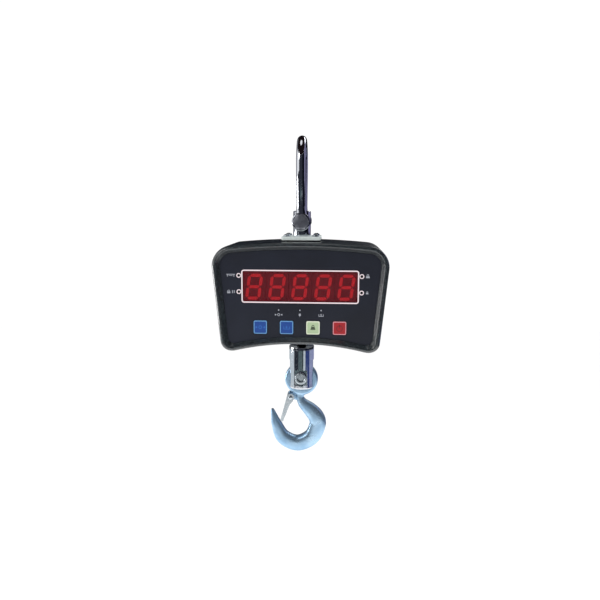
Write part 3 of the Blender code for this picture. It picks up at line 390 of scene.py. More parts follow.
def dome(radius, foot, top, rim, steps=6):
    """(radius, along) points of a dome, short of its middle. rim is the share that its edge stands high."""
    return [(radius * c, foot + (top - foot) * (rim + (1 - rim) * s))
            for c, s in arc((0, 0), 1, 0, 90, steps)[:-1]]


def lofted(*layers, closed=False):
    """Skins (x, z) outlines of equal length, each at its own y."""
    return skin([[Vector((x, y, z)) for x, z in outline] for outline, y in layers], closed)


def prism(outline, front, back):
    return lofted((outline, front), (outline, back))


def band(outer, inner, front, back):
    """A flat ring between two (x, z) outlines."""
    return lofted((outer, front), (outer, back), (inner, back), (inner, front), closed=True)


def swept(points, side, section):
    """Carries a section along a path. side gives one of its axes at a point, and section its
    points on both axes at a number along the path."""
    rings = []
    for i, point in enumerate(points):
        along = (points[min(i + 1, len(points) - 1)] - points[max(i - 1, 0)]).normalized()
        across = side(point)
        up = along.cross(across)
        rings.append([point + across * a + up * b for a, b in section(i)])
    return skin(rings)


def moved(mesh, x=0.0, y=0.0, z=0.0):
    copy = mesh.copy()
    copy.transform(Matrix.Translation((x, y, z)))
    return copy


def at(mesh, spot):
    """A copy moved to a spot's x and z."""
    return moved(mesh, spot.x, 0, spot.z)


def joined(*parts):
    """One mesh from several. A part is a mesh, or a (mesh, number of its material) pair."""
    whole = bmesh.new()
    for part in parts:
        mesh, number = part if isinstance(part, tuple) else (part, 0)
        if isinstance(part, tuple):
            for face in mesh.polygons:
                face.material_index = number
        whole.from_mesh(mesh)
    mesh = bpy.data.meshes.new("joined")
    whole.to_mesh(mesh)
    whole.free()
    return mesh


# %% Helpers for Booleans and bevels
def applied(mesh, kind, other=None, **settings):
    """The mesh after one modifier. other is a second mesh for the modifier to use."""
    made = [bpy.data.objects.new("working", mesh)]
    if other is not None:
        made.append(bpy.data.objects.new("tool", other))
    for one in made:
        scene.collection.objects.link(one)
    modifier = made[0].modifiers.new("step", kind)
    for name, value in settings.items():
        setattr(modifier, name, value)
    if other is not None:
        modifier.object = made[1]
    result = bpy.data.meshes.new_from_object(made[0].evaluated_get(bpy.context.evaluated_depsgraph_get()))
    for one in made:
        bpy.data.objects.remove(one)
    return result


def boolean(operation):
    def combined(mesh, *others):
        for other in others:
            mesh = applied(mesh, "BOOLEAN", other, operation=operation, solver="EXACT")
        return sharpened(mesh)
    return combined


cut, fused, kept = boolean("DIFFERENCE"), boolean("UNION"), boolean("INTERSECT")


def eased(mesh, width, segments=2, angle=35):
    """Bevels the edges that turn more than an angle, as a file or a tumbler does."""
    bevelled = sharpened(applied(mesh, "BEVEL", width=width, segments=segments, limit_method="ANGLE",
                                 angle_limit=math.radians(angle), miter_outer="MITER_ARC"), 40)
    return applied(bevelled, "WEIGHTED_NORMAL", keep_sharp=True)


def place_piece(name, mesh, materials, body, slot, *nodes):
    """Puts a finished piece in the scene, in place of the plain ones that it stands for."""
    made = bpy.data.objects.new(name, mesh)
    for material in materials if isinstance(materials, (list, tuple)) else [materials]:
        mesh.materials.append(material)
    scene.collection.objects.link(made)
    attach(made, body)
    if nodes:
        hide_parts(*nodes)
    return made


print("shape helpers ready")

# %% [markdown]
# ## Chrome plate
#
# The shackle, the post and the clevis are steel with a bright chrome plate, laid by
# electroplating on a polished surface. It mirrors the studio almost sharply, but the polish
# under it is never perfect, so a very shallow waviness some millimetres wide bends the
# reflections, and handling leaves a faint haze that lifts the roughness in patches.

# %% Chrome plate
chrome = new_finish("chrome_plated_steel", "#dde0e5", 0.07, ("#e4e6ea", "#c9cdd6"), 3 * MM, 4.0,
                    polish=(0.35, 0.75, 0.05, 0.16), relief=(9 * MM, 1.0, 0.25, 0.4 * MM), Metallic=1.0)

# %% [markdown]
# ## Hammered enamel
#
# The case halves are die-cast aluminium under a stoved hammer-finish enamel. As it cures, the
# paint draws into dimples about a millimetre and a half across, and its aluminium pigment
# gathers between them as grey-green flecks. Cells from a Voronoi pattern give the dimples, and
# a finer noise breaks up the flecks.

# %% Hammered enamel
enamel = new_finish("hammered_enamel", "#1b1f23", 0.34, ("#12161b", "#4f5c62"), 0.9 * MM, 3.0,
                    patches=(0.50, 0.72), polish=(0.0, 1.0, 0.26, 0.48),
                    relief=(1.7 * MM, None, 0.5, 0.25 * MM),
                    Coat_Weight=0.8, Coat_Roughness=0.16, Coat_IOR=1.6)

# %% [markdown]
# ## Printed polyester film
#
# The face is a polyester film, printed dark blue-grey on its back and bonded to the case. Its
# outer side has a fine satin texture, so it shows broad soft reflections and hardly any
# colour of its own. The white marks on it are screen-printed ink, a matt and slightly uneven
# film.

# %% Face film and ink
film = new_finish("satin_polyester_film", "#171b28", 0.42, ("#12151f", "#1d2336"), 60 * MM,
                  relief=(0.35 * MM, 2.0, 0.3, 0.03 * MM), IOR=1.5)


def screen_ink(name, base, thin):
    """Matt ink whose film is a little thinner here and there, where it takes the second colour."""
    return new_finish(name, base, 0.6, (base, thin), 0.5 * MM)


white_ink = screen_ink("white_screen_ink", "#efe1e5", "#dccbd0")
grey_ink = screen_ink("grey_screen_ink", "#b4b7c0", "#8d919c")

# %% [markdown]
# ## Tinted acrylic and digit modules
#
# The window is cast acrylic dyed deep red, glossy and partly see-through, so that lit segments
# glow and the rest stays dark. Behind it stand moulded digit modules: a brownish reflector
# face with seven diffuser bars of red epoxy. The bars are unlit and show as a brighter red, with a
# faint painted glow added to that red.

# %% Window, digits and lamp lenses
acrylic = new_finish("red_cast_acrylic", "#5a0d18", 0.08, ("#540c17", "#61101c"), 14 * MM, 1.0,
                     IOR=1.49, Alpha=0.3)


def moulded_plastic(name, base, second, roughness, grain=1.2 * MM, relief=0.02 * MM, **more):
    """Injection-moulded plastic: an even colour with a faint flow mottle and the mould's fine grain."""
    return new_finish(name, base, roughness, (base, second), grain, 3.0,
                      relief=(grain, 3.0, 0.4, relief), **more)


reflector = moulded_plastic("brown_digit_reflector", "#8a2831", "#78212a", 0.55)
# The bars are unlit: their faint emission is a painted glow that brightens their red.
segment_red_painted_glow = moulded_plastic("red_epoxy_diffuser_painted_glow", "#f0323a", "#dc2a33", 0.45, grain=2.5 * MM,
                              Emission_Color=colour("#ff2a30"), Emission_Strength=0.25)
smoked_lens = moulded_plastic("smoked_epoxy_lens", "#0a0b0d", "#121418", 0.2)
milky_lens = moulded_plastic("milky_epoxy_lens", "#c9ccd4", "#a5a9b4", 0.35)

# %% [markdown]
# ## Keys
#
# The four keys are moulded caps with a light border and a coloured printed face: two blue, one
# pale green and one red. They are a satin plastic with a soft bloom from handling.

# %% Key plastics
BLUE = ("#5f95c8", "#003f8e", "#1b60b0")
KEY_COLOURS = {
    "key_zero": BLUE, "key_tare": BLUE,
    "key_hold": ("#dfe6cf", "#a8bb96", "#46543f"),
    "key_power": ("#d08790", "#a00a18", "#74101a"),
}
key_finishes = {
    key: [moulded_plastic(f"{key}_border_abs", border, border, 0.45),
          moulded_plastic(f"{key}_face_abs", face, face, 0.42, grain=0.6 * MM, relief=0.05 * MM),
          screen_ink(f"{key}_ink", ink, ink)]
    for key, (border, face, ink) in KEY_COLOURS.items()
}

# %% [markdown]
# ## Zinc plate, black oxide and the hidden materials
#
# The hook, latch and top plate are zinc plated and passivated, which leaves a pale blue,
# slightly cloudy metal. The swivel stud and the case screws are blackened, with an oily dark
# sheen, and the shackle bolt is turned steel. Inside the case there are plain ground steel,
# circuit board, rubber and brass, each with the small variation that its surface really has.

# %% Metals
def worn_metal(name, base, second, roughness, spread, cloud, relief, metallic=1.0):
    """A metal whose colour and polish drift over a cloud's width, with relief in its surface."""
    return new_finish(name, base, roughness, (base, second), cloud, 5.0,
                      polish=(0.3, 0.7, roughness - spread, roughness + spread),
                      relief=(cloud / 4, 3.0, 0.3, relief), Metallic=metallic)


forged_zinc = worn_metal("blue_passivated_forging", "#c3dff4", "#80abd0", 0.33, 0.07, 13 * MM, 0.5 * MM,
                         metallic=0.85)
sheet_zinc = worn_metal("bright_zinc_sheet", "#dadfe3", "#b6c2ca", 0.26, 0.06, 4 * MM, 0.08 * MM)
plate_zinc = worn_metal("zinc_plated_steel", "#f2faf8", "#cdd8d6", 0.5, 0.1, 3 * MM, 0.2 * MM,
                        metallic=0.15)
black_oxide = worn_metal("black_oxide_steel", "#34363c", "#1c1d22", 0.32, 0.08, 3 * MM, 0.1 * MM)
bolt_steel = worn_metal("turned_bolt_steel", "#cfd1d8", "#a6a9b3", 0.38, 0.06, 3 * MM, 0.1 * MM)
ground_steel = worn_metal("ground_steel", "#aeb1b5", "#8b8f95", 0.3, 0.08, 2.5 * MM, 0.06 * MM)
spring_steel = worn_metal("drawn_spring_steel", "#a5a8ad", "#74787f", 0.35, 0.05, 1.5 * MM, 0.03 * MM)
cage_brass = worn_metal("rolled_brass", "#c9a25a", "#a37f3f", 0.3, 0.08, 2 * MM, 0.05 * MM)
cell_steel = worn_metal("nickel_plated_load_cell", "#c2c3bd", "#a2a49d", 0.28, 0.06, 5 * MM, 0.05 * MM)

# %% Rubber, board and dark plastic
nitrile = moulded_plastic("nitrile_rubber", "#141416", "#1d1d20", 0.8, grain=0.8 * MM, relief=0.05 * MM)
board_resin = moulded_plastic("solder_masked_board", "#0f4a2a", "#17613a", 0.4, grain=2 * MM)
dark_abs = moulded_plastic("black_moulded_abs", "#17181a", "#212225", 0.45, grain=0.7 * MM)
battery_wrap = moulded_plastic("lead_acid_battery_abs", "#2a2c30", "#33363b", 0.5)
print(f"{len(bpy.data.materials)} materials")

# %% [markdown]
# ## Threads and hexagons
#
# A screw thread is a cylinder whose radius depends on both height and angle: it rises and
# falls once for each pitch, and the angle shifts where it does. That makes a true helix with no
# special tool. A hexagon's corners are turned off at about thirty degrees, which a Boolean with
# a turned double cone does exactly as a lathe would.

# %% Threads, hexagons and screw heads
def threaded(diameter, pitch, start, end, axis="Z", sides=40, steps=6):
    """A rod with a helical thread, its ends turned down to the thread's root."""
    root = 0.61 * pitch
    count = max(2, round((end - start) / pitch * steps))
    rings = []
    for i in range(count + 1):
        along = start + (end - start) * i / count
        ring = []
        for k in range(sides):
            angle = 2 * math.pi * (k + 0.5) / sides
            turn = (along / pitch - angle / (2 * math.pi)) % 1
            rise = 0 if i in (0, count) else min(1, 1.3 * (1 - abs(2 * turn - 1)))
            radius = diameter / 2 - root * (1 - rise)
            ring.append(Vector((radius * math.cos(angle), radius * math.sin(angle), along)))
        rings.append(ring)
    mesh = skin(rings)
    mesh.transform(AXES[axis])
    return mesh


def hexagon(across, start, end, axis="Y"):
    """A hexagon whose corners are turned off on both faces."""
    corner = across / math.sqrt(3)
    slope = (corner - across / 2) * 0.45
    lathe = ((across / 2, start), (corner * 1.02, start + slope), (corner * 1.02, end - slope),
             (across / 2, end))
    six = disc(corner, sides=6)
    blank = skin([[Vector((x, y, along)) for x, y in six] for along in (start, end)])
    mesh = kept(blank, turned(lathe, sides=60))
    mesh.transform(AXES[axis])
    return mesh


def nut(across, bore, start, end, axis="Y"):
    return cut(hexagon(across, start, end, axis), rod(bore, start - MM, end + MM, axis))


def cross(arm, thickness):
    """(x, y) outline of a cross recess."""
    a, t = arm / 2, thickness / 2
    return [(a, -t), (a, t), (t, t), (t, a), (-t, a), (-t, t), (-a, t), (-a, -t), (-t, -t), (-t, -a),
            (t, -a), (t, -t)]


def cross_recess(across, depth, top):
    """A tapering cross to cut into a screw head whose top is at a height."""
    wide, narrow = cross(across * 0.58, across * 0.15), cross(across * 0.2, across * 0.1)
    layers = ((wide, top + MM), (wide, top), (narrow, top - depth))
    return skin([[Vector((x, y, z)) for x, y in outline] for outline, z in layers])


def pan_screw(head, height, shank, length):
    """A pan-head screw that stands on z = 0, its shank below."""
    profile = [(shank / 2 - 0.4 * MM, -length), (shank / 2, -length + 0.5 * MM), (shank / 2, CLEAR),
               (head / 2 - 0.2 * MM, CLEAR), (head / 2, 0.2 * MM + CLEAR),
               *dome(head / 2, 0, height, 0.35, 7), (head * 0.06, height)]
    return cut(turned(profile, sides=40), cross_recess(head, height * 0.75, height))


print("threads and screws ready")

# %% [markdown]
# ## Shackle
#
# The shackle is one bar, bent hot over a former, with its ends forged into flat eyes. We sweep
# a round section along the bent line, let it broaden just above the eyes where the metal
# flows into them, and join the two turned eyes to it.

# %% Shackle
BAR = 13 * MM
BOW_RADIUS = 24.5 * MM
EYE_RADIUS = 12.7 * MM
EYE_THICKNESS = 13 * MM
BOLT = 12 * MM
EYE_Y = 20 * MM
FLARE, FLARE_HEIGHT = 0.38, 15 * MM


def bow_path(arm_points=28, bow_points=48):
    """Points along the bar's middle, from one eye over the bow to the other."""
    radius = BOW_RADIUS + BAR / 2
    start = BOLT_Z + EYE_RADIUS / 2
    arm = []
    for i in range(arm_points):
        share = i / arm_points
        ease = share * share * (3 - 2 * share)
        arm.append((EYE_Y + (radius - EYE_Y) * ease, start + (-BOW_RADIUS - start) * share))
    bow = arc((0, -BOW_RADIUS), radius, 0, 180, bow_points)
    return [Vector((0, y, z)) for y, z in arm + bow + [(-y, z) for y, z in reversed(arm)]]


def bar_section(number):
    """The round section, which broadens across x towards the eyes."""
    near = max(0.0, 1 - (bow[number].z - bow[0].z) / FLARE_HEIGHT)
    return [(x * (1 + FLARE * near * near), up) for x, up in disc(BAR / 2)]


bow = bow_path()
half = EYE_THICKNESS / 2
eye_profile = ([(EYE_RADIUS * 0.55, -half)] + arc((EYE_RADIUS - 1.6 * MM, 1.6 * MM - half), 1.6 * MM, -90, 0)
               + arc((EYE_RADIUS - 1.6 * MM, half - 1.6 * MM), 1.6 * MM, 0, 90) + [(EYE_RADIUS * 0.55, half)])
shackle_mesh = swept(bow, lambda point: Vector((1, 0, 0)), bar_section)
for side in (-1, 1):
    shackle_mesh = fused(shackle_mesh, moved(turned(eye_profile, "Y", 96), 0, side * EYE_Y, BOLT_Z))
shackle_mesh = cut(shackle_mesh, moved(rod(BOLT + 0.6 * MM, -2.5 * EYE_Y, 2.5 * EYE_Y, "Y", 48), 0, 0, BOLT_Z))
place_piece("bent_shackle", shackle_mesh, chrome, "shackle", "bright_chrome", "shackle")
print(f"shackle: {len(shackle_mesh.polygons)} faces")

# %% [markdown]
# ## Shackle bolt and nut
#
# A bright hexagon bolt passes through both eyes and the post. Its head stands on the front
# eye, over a turned washer face a little wider than the flats, and its nut and a few turns of
# thread show behind.

# %% Shackle bolt and nut
HEX, HEX_THICKNESS = 19 * MM, 8 * MM
WASHER_FACE = 0.6 * MM
face = EYE_Y + half + CLEAR

head = hexagon(HEX, -face - HEX_THICKNESS, -face - WASHER_FACE)
collar = rod(HEX * 1.12, -face - WASHER_FACE - 0.1 * MM, -face, "Y", 72)
shank = rod(BOLT, -face - 1 * MM, face + HEX_THICKNESS - 2 * MM, "Y")
thread_end = threaded(BOLT, 1.75 * MM, face + HEX_THICKNESS - 3 * MM, high("shackle_bolt").y, "Y")
bolt_mesh = joined(fused(head, collar, shank), thread_end)
nut_mesh = nut(HEX, BOLT + 0.6 * MM, face, face + HEX_THICKNESS)
for name, mesh, node in (("shackle_hex_bolt", bolt_mesh, "shackle_bolt"),
                         ("shackle_hex_nut", nut_mesh, "shackle_nut")):
    place_piece(name, moved(mesh, 0, 0, BOLT_Z), bolt_steel, "shackle", "plain_steel", node)

# %% [markdown]
# ## Post, plate and gasket
#
# The post hangs on the bolt and carries the case. It comes through a zinc-plated square plate
# that four pan-head screws hold on a rubber gasket. The plate's edges are broken by tumbling,
# and its corners are round.

# %% Post and top plate
POST = 25 * MM
STUD = 14 * MM
CORNER = 1.0 * MM

post_low, post_high = low("post").z, high("post").z
shoulder = high("load_cell").z + 18 * MM
post_profile = [(STUD / 2, post_low), (STUD / 2, shoulder), (POST / 2 - CORNER, shoulder)]
post_profile += arc((POST / 2 - CORNER, shoulder + CORNER), CORNER, -90, 0, 4)
post_profile += arc((POST / 2 - 2 * CORNER, post_high - 2 * CORNER), 2 * CORNER, 0, 90, 6)
post_mesh = cut(turned(post_profile, sides=96), moved(rod(BOLT + 1 * MM, -POST, POST, "Y"), 0, 0, BOLT_Z))
place_piece("turned_post", post_mesh, chrome, "scale_body", "bright_chrome", "post")

plate_top = high("top_plate").z
PLATE_SIDE = size("top_plate").x
square = rounded_box(PLATE_SIDE, PLATE_SIDE, 3 * MM)


def flat_plate(node):
    """A square plate with the post's bore, as high as a plain piece."""
    bottom, top = low(node).z, high(node).z
    mesh = skin([[Vector((x, y, z)) for x, y in square] for z in (bottom, top)])
    return cut(mesh, rod(POST + 0.6 * MM, bottom - MM, top + MM))


place_piece("square_plate", eased(flat_plate("top_plate"), 0.7 * MM, 3), plate_zinc, "scale_body",
            "bright_zinc", "top_plate")
place_piece("plate_gasket", flat_plate("top_gasket"), nitrile, "scale_body", "seal_rubber", "top_gasket")

for number in range(1, 5):
    node = f"plate_screw_{number}"
    screw = pan_screw(size(node).x, high(node).z - plate_top, 4.5 * MM, plate_top - low(node).z)
    screw.transform(Matrix.Rotation(number * 1.1, 4, "Z"))
    place_piece(f"plate_pan_screw_{number}", moved(screw, middle(node).x, middle(node).y, plate_top),
                sheet_zinc, "scale_body", "bright_zinc", node)
print("post and plate ready")

# %% [markdown]
# ## Case outline
#
# Seen from the front the case is wider than high, crowned on top, hollow below, and its sides
# lean in towards the bottom. One function gives that outline at any inset, so the rim, the
# face film, the wall and the rear cover all follow the same line.

# %% Case outline
CASE_WIDTH = 240 * MM
CASE_HEIGHT = 139 * MM
TOP_CAMBER, BOTTOM_CAMBER = 7.1 * MM, 19 * MM
TOP_CORNER, BOTTOM_CORNER = 25.5 * MM, 21 * MM
SIDE_LEAN = math.radians(5.6)
WALL = 3 * MM
CASE_BOTTOM = CASE_TOP - CASE_HEIGHT


def rounded_corner(corner, before, after, radius, steps):
    """A polygon's corner turned into an arc."""
    here = Vector(corner)
    before, after = (Vector(before) - here).normalized(), (Vector(after) - here).normalized()
    opening = before.angle(after) / 2
    centre = here + (before + after).normalized() * (radius / math.sin(opening))
    first, last = [here + way * (radius / math.tan(opening)) - centre for way in (before, after)]
    start = math.atan2(first.y, first.x)
    sweep = math.remainder(math.atan2(last.y, last.x) - start, 2 * math.pi)
    return arc(centre, radius, math.degrees(start), math.degrees(start + sweep), steps)


def case_outline(inset=0.0, arc_steps=14, end_spans=30, side_spans=6):
    """(x, z) points of the case seen from the front, at an inset from its skin."""
    flat_top, flat_bottom = CASE_TOP - TOP_CAMBER, CASE_BOTTOM - BOTTOM_CAMBER
    corners = []
    for z, sides in ((flat_bottom + inset, (-1, 1)), (flat_top - inset, (1, -1))):
        half_width = (CASE_WIDTH / 2 - (flat_top - TOP_CORNER - z) * math.tan(SIDE_LEAN)
                      - inset / math.cos(SIDE_LEAN))
        corners += [(side * half_width, z) for side in sides]
    radii = [max(radius - inset, 2 * MM) for radius in (BOTTOM_CORNER, TOP_CORNER)]
    arcs = [rounded_corner(corners[i], corners[i - 1], corners[(i + 1) % 4], radii[i // 2], arc_steps)
            for i in range(4)]
    points = []
    for i, line in enumerate(arcs):
        spans = side_spans if i % 2 else end_spans
        following = arcs[(i + 1) % 4][0]
        points += line + [tuple(a + (b - a) * k / spans for a, b in zip(line[-1], following))
                          for k in range(1, spans)]
    cambered = []
    for x, z in points:
        height = (z - flat_bottom) / (flat_top - flat_bottom)
        bow = max(0.0, 1 - (x / (CASE_WIDTH / 2)) ** 2)
        cambered.append((x, z + (TOP_CAMBER * height + BOTTOM_CAMBER * (1 - height)) * bow))
    return cambered


def case_shell(section):
    """Skins the case's outline over (inset, y) points."""
    return lofted(*[(case_outline(inset), y) for inset, y in section])


print(f"outline of {len(case_outline())} points")

# %% [markdown]
# ## Front housing
#
# The front half is a cast shell. Around the face it has a raised rim: a broad round outside, a
# soft crest, and an inner side that slopes down to the film. We skin rings over that section,
# close the shell with its front wall behind the film, and cut the openings for the window, the
# keys and the lamps. Those take their places from the plain pieces.

# %% Front housing
RIM_WIDTH, RIM_SLOPE = 10.5 * MM, 5 * MM
EDGE_ROUND = 5 * MM
CREST = 0.9 * MM
KEYS = ("key_zero", "key_tare", "key_hold", "key_power")
SIDE_LAMPS = ("lamp_left_upper", "lamp_left_lower", "lamp_right_upper", "lamp_right_lower")
SMALL_LAMPS = ("lamp_small_left", "lamp_small_middle", "lamp_small_right")
seat = high("front_panel").y + CLEAR
inner_front = seat + WALL
housing_rear = high("front_housing").y


def face_tools(front, back, margin):
    """Solids to cut through a plate of the face, one for each thing that shows in it."""
    shapes = []
    for node, room, corner in (("display_window", margin, 4 * MM), *[(key, CLEAR, 2.2 * MM) for key in KEYS]):
        outline = rounded_box(size(node).x + 2 * room, size(node).z + 2 * room, corner)
        shapes.append(at(prism(outline, front, back), middle(node)))
    for lamp in SIDE_LAMPS + SMALL_LAMPS:
        shapes.append(at(rod(size(lamp).x + 2 * CLEAR, front, back, "Y", 24), middle(lamp)))
    return joined(*shapes)


rim = [(RIM_WIDTH, seat), (RIM_WIDTH, PANEL + 0.05 * MM)]
slope_foot, slope_top = Vector((RIM_WIDTH, PANEL)), Vector((RIM_WIDTH - RIM_SLOPE, FRONT))
for share in (0.04, 0.12, 0.3, 0.5, 0.7, 0.86):
    swell = 0.35 * MM * math.sin(math.pi * share)
    point = slope_foot.lerp(slope_top, share)
    rim.append((point.x - swell * 0.77, point.y - swell * 0.64))
rim += [(RIM_WIDTH - RIM_SLOPE - CREST * 0.1, FRONT + CREST * 0.35),
        (EDGE_ROUND + 0.05 * MM, FRONT + CREST * 0.08)]
outside = arc((EDGE_ROUND, FRONT + EDGE_ROUND), EDGE_ROUND, -100, -180, 8)
inside = [(0.0, housing_rear - 0.5 * MM), (0.5 * MM, housing_rear), (WALL, housing_rear), (WALL, inner_front)]
housing_mesh = cut(case_shell(rim + outside + inside), face_tools(seat - MM, inner_front + MM, -1.2 * MM),
                   rod(POST + 0.6 * MM, CASE_TOP - 20 * MM, CASE_TOP + WALL),
                   rod(STUD + 2 * MM, CASE_BOTTOM - WALL, CASE_BOTTOM + 2 * WALL))
place_piece("cast_front_housing", sharpened(housing_mesh, 40), enamel, "scale_body", "painted_casting",
            "front_housing")
print(f"front housing: {len(housing_mesh.polygons)} faces")

# %% [markdown]
# ## Rear cover, battery cover and their screws
#
# The rear half closes the shell. Six cap screws sit in counterbores round its edge, and a
# separate cover over the battery bay is held by two countersunk screws. Ribs on that cover
# stiffen the thin casting and give the fingers a hold.

# %% Rear cover
cover_front = low("rear_cover").y
outside = arc((EDGE_ROUND, REAR - EDGE_ROUND), EDGE_ROUND, 90, 180, 8)
cover_mesh = case_shell(outside + [(0.0, cover_front + 0.5 * MM), (0.5 * MM, cover_front), (WALL, cover_front),
                                   (WALL, REAR - WALL)])
boss = rod(11 * MM, cover_front, REAR - WALL / 2, "Y")
sink = turned([(r * MM, y) for r, y in ((2.3, cover_front - MM), (2.3, REAR - 8 * MM), (4.5, REAR - 8 * MM),
                                        (4.5, REAR - 0.6 * MM), (5.1, REAR), (5.1, REAR + MM))], "Y", 40)
spots = [middle(f"case_screw_{number}") for number in range(1, 7)]
bay = prism(rounded_box(98 * MM, 68 * MM, 3 * MM), REAR - 2 * WALL, REAR + WALL)
socket_spot = middle("dc_socket")
socket_hole = rod(11.6 * MM, REAR - 2 * WALL, REAR + WALL, "Y")
cover_mesh = cut(fused(cover_mesh, joined(*[at(boss, spot) for spot in spots])),
                 joined(*[at(sink, spot) for spot in spots]), moved(bay, 0, 0, middle("battery_cover").z),
                 at(socket_hole, socket_spot))
place_piece("cast_rear_cover", sharpened(cover_mesh, 40), enamel, "scale_body", "painted_casting", "rear_cover")

# %% Cap screws in the rear cover
SOCKET_KEY = 3 * MM
for number in range(1, 7):
    node = f"case_screw_{number}"
    back = high(node).y
    cap = turned([(r * MM, y) for r, y in ((2, low(node).y), (2, back - 3 * MM), (3.8, back - 3 * MM),
                                           (4, back - 2.8 * MM), (4, back - 0.5 * MM), (3.6, back))], "Y", 36)
    recess = prism(disc(SOCKET_KEY / math.sqrt(3), sides=6), back - 1.8 * MM, back + MM)
    place_piece(f"case_cap_screw_{number}", at(cut(cap, recess), middle(node)), black_oxide, "scale_body",
                "bright_zinc", node)

# %% Battery cover, its screws and the charging socket
lid_size, lid_spot, lid_back = size("battery_cover"), middle("battery_cover"), high("battery_cover").y
face_y = lid_back - 0.9 * MM
lid = prism(rounded_box(lid_size.x, lid_size.z, 4 * MM), low("battery_cover").y, face_y)
rib = prism(rounded_box(80 * MM, 3 * MM, 1.4 * MM), lid_back - 1.2 * MM, lid_back)
lid = fused(eased(lid, 0.5 * MM, 3), joined(*[moved(rib, 0, 0, i * 9 * MM) for i in range(-3, 4)]))
screw_sinks = []
for number in (1, 2):
    node = f"battery_cover_screw_{number}"
    screw_sinks.append(moved(turned([(r * MM, y) for r, y in (
        (1.8, low("battery_cover").y - MM), (1.8, face_y - 1.5 * MM), (3.3, face_y), (3.3, face_y + MM))],
        "Y", 32), middle(node).x))
    head_shape = turned([(r * MM, y) for r, y in (
        (1.5, low(node).y), (1.5, face_y - 1.5 * MM), (3.0, face_y - 0.1 * MM),
        (2.4, face_y + 0.15 * MM))], "Y", 32)
    slotted = cross_recess(6 * MM, 1.1 * MM, face_y + 0.2 * MM)
    slotted.transform(AXES["Y"])
    place_piece(f"cover_screw_{number}", at(cut(head_shape, slotted), middle(node)), plate_zinc, "scale_body",
                "bright_zinc", node)
lid = cut(moved(lid, 0, 0, lid_spot.z), moved(joined(*screw_sinks), 0, 0, lid_spot.z))
place_piece("ribbed_battery_cover", lid, enamel, "scale_body", "painted_casting", "battery_cover")

ring_y = high("dc_socket").y
socket_mesh = turned([(r * MM, y) for r, y in (
    (5.5, low("dc_socket").y), (5.5, REAR + CLEAR), (6.7, REAR + CLEAR), (6.7, ring_y - 0.3 * MM),
    (6.3, ring_y), (3.4, ring_y), (3.0, ring_y - 0.4 * MM), (3.0, REAR - 9 * MM), (1.1, REAR - 9 * MM),
    (1.1, REAR - 1.3 * MM), (0.8, REAR - 1 * MM))], "Y", 40)
place_piece("charging_socket", at(socket_mesh, socket_spot), dark_abs, "scale_body", "black_plastic",
            "dc_socket")
print("rear of the case ready")

# %% [markdown]
# ## Face film and its print
#
# The film lies inside the rim, with holes for the window, the keys and the lamps. Its print is
# a white ring round each side lamp and a small mark beside each lamp. The marks are plain
# pictograms, built as thin flat solids, as ink really stands a little proud of the film.

# %% Face film
INK = 0.06 * MM

film_mesh = prism(case_outline(RIM_WIDTH + CLEAR), PANEL, high("front_panel").y)
film_mesh = cut(film_mesh, face_tools(PANEL - MM, high("front_panel").y + MM, CLEAR))
place_piece("face_film", film_mesh, film, "scale_body", "face_panel", "front_panel")


def ink_shape(outline, surface, x=0.0, z=0.0):
    return moved(prism(outline, surface - INK, surface - 0.01 * MM), x, 0, z)


def ink_ring(outer, inner, surface, x=0.0, z=0.0):
    return moved(band(disc(outer), disc(inner), surface - INK, surface - 0.01 * MM), x, 0, z)


# %% Pictograms
def block(x, z, width, height):
    """A rectangle's outline in millimetres, round its middle."""
    return [(x + i * width / 2, z + j * height / 2) for i, j in ((-1, -1), (1, -1), (1, 1), (-1, 1))]


# Outlines are lists of points, and rings are (outer radius, inner radius, x, z), in millimetres.
MARKS = {
    "table": [block(0, 1.5, 12, 0.8), block(-4.4, -0.4, 0.8, 3.0), block(4.4, -0.4, 0.8, 3.0),
              block(0, -0.3, 5.0, 0.6)],
    "lock": [block(-3.0, -0.9, 4.2, 2.6), (1.6, 0.9, -3.0, 0.8), block(2.2, -0.1, 1.0, 3.8),
             block(4.6, -0.1, 1.0, 3.8)],
    "heavy": [[(-2.7, -2.0), (2.7, -2.0), (1.8, 0.9), (-1.8, 0.9)], (1.5, 0.8, 0, 1.6)],
    "light": [[(-1.9, -1.6), (1.9, -1.6), (1.2, 0.6), (-1.2, 0.6)], (1.1, 0.55, 0, 1.2)],
    "zero": [(1.9, 1.2, 0, 0), [(-5.0, 1.3), (-5.0, -1.3), (-2.8, 0)], [(5.0, 1.3), (2.8, 0), (5.0, -1.3)]],
    "plug": [block(0, 0, 2.8, 2.2), block(-0.8, 1.6, 0.6, 1.4), block(0.8, 1.6, 0.6, 1.4),
             block(0, -1.7, 0.6, 1.6)],
    "tray": [block(-3.0, -0.2, 0.7, 2.8), block(3.0, -0.2, 0.7, 2.8), block(0, -1.6, 6.7, 0.7),
             [(-1.3, 0.7), (0, -0.9), (1.3, 0.7)], block(0, 1.3, 0.7, 1.4)],
    "power": [(3.4, 2.6, 0, -0.4), block(0, 2.0, 0.9, 4.0)],
}


def ink_mark(mark, surface, x=0.0, z=0.0, scale=1.0):
    """Prints one of the marks on a surface, round a point."""
    made, unit = [], scale * MM
    for shape in MARKS[mark]:
        if isinstance(shape, tuple):
            outer, inner, dx, dz = [value * unit for value in shape]
            made.append(ink_ring(outer, inner, surface, x + dx, z + dz))
        else:
            made.append(ink_shape([(px * unit, pz * unit) for px, pz in shape], surface, x, z))
    return made


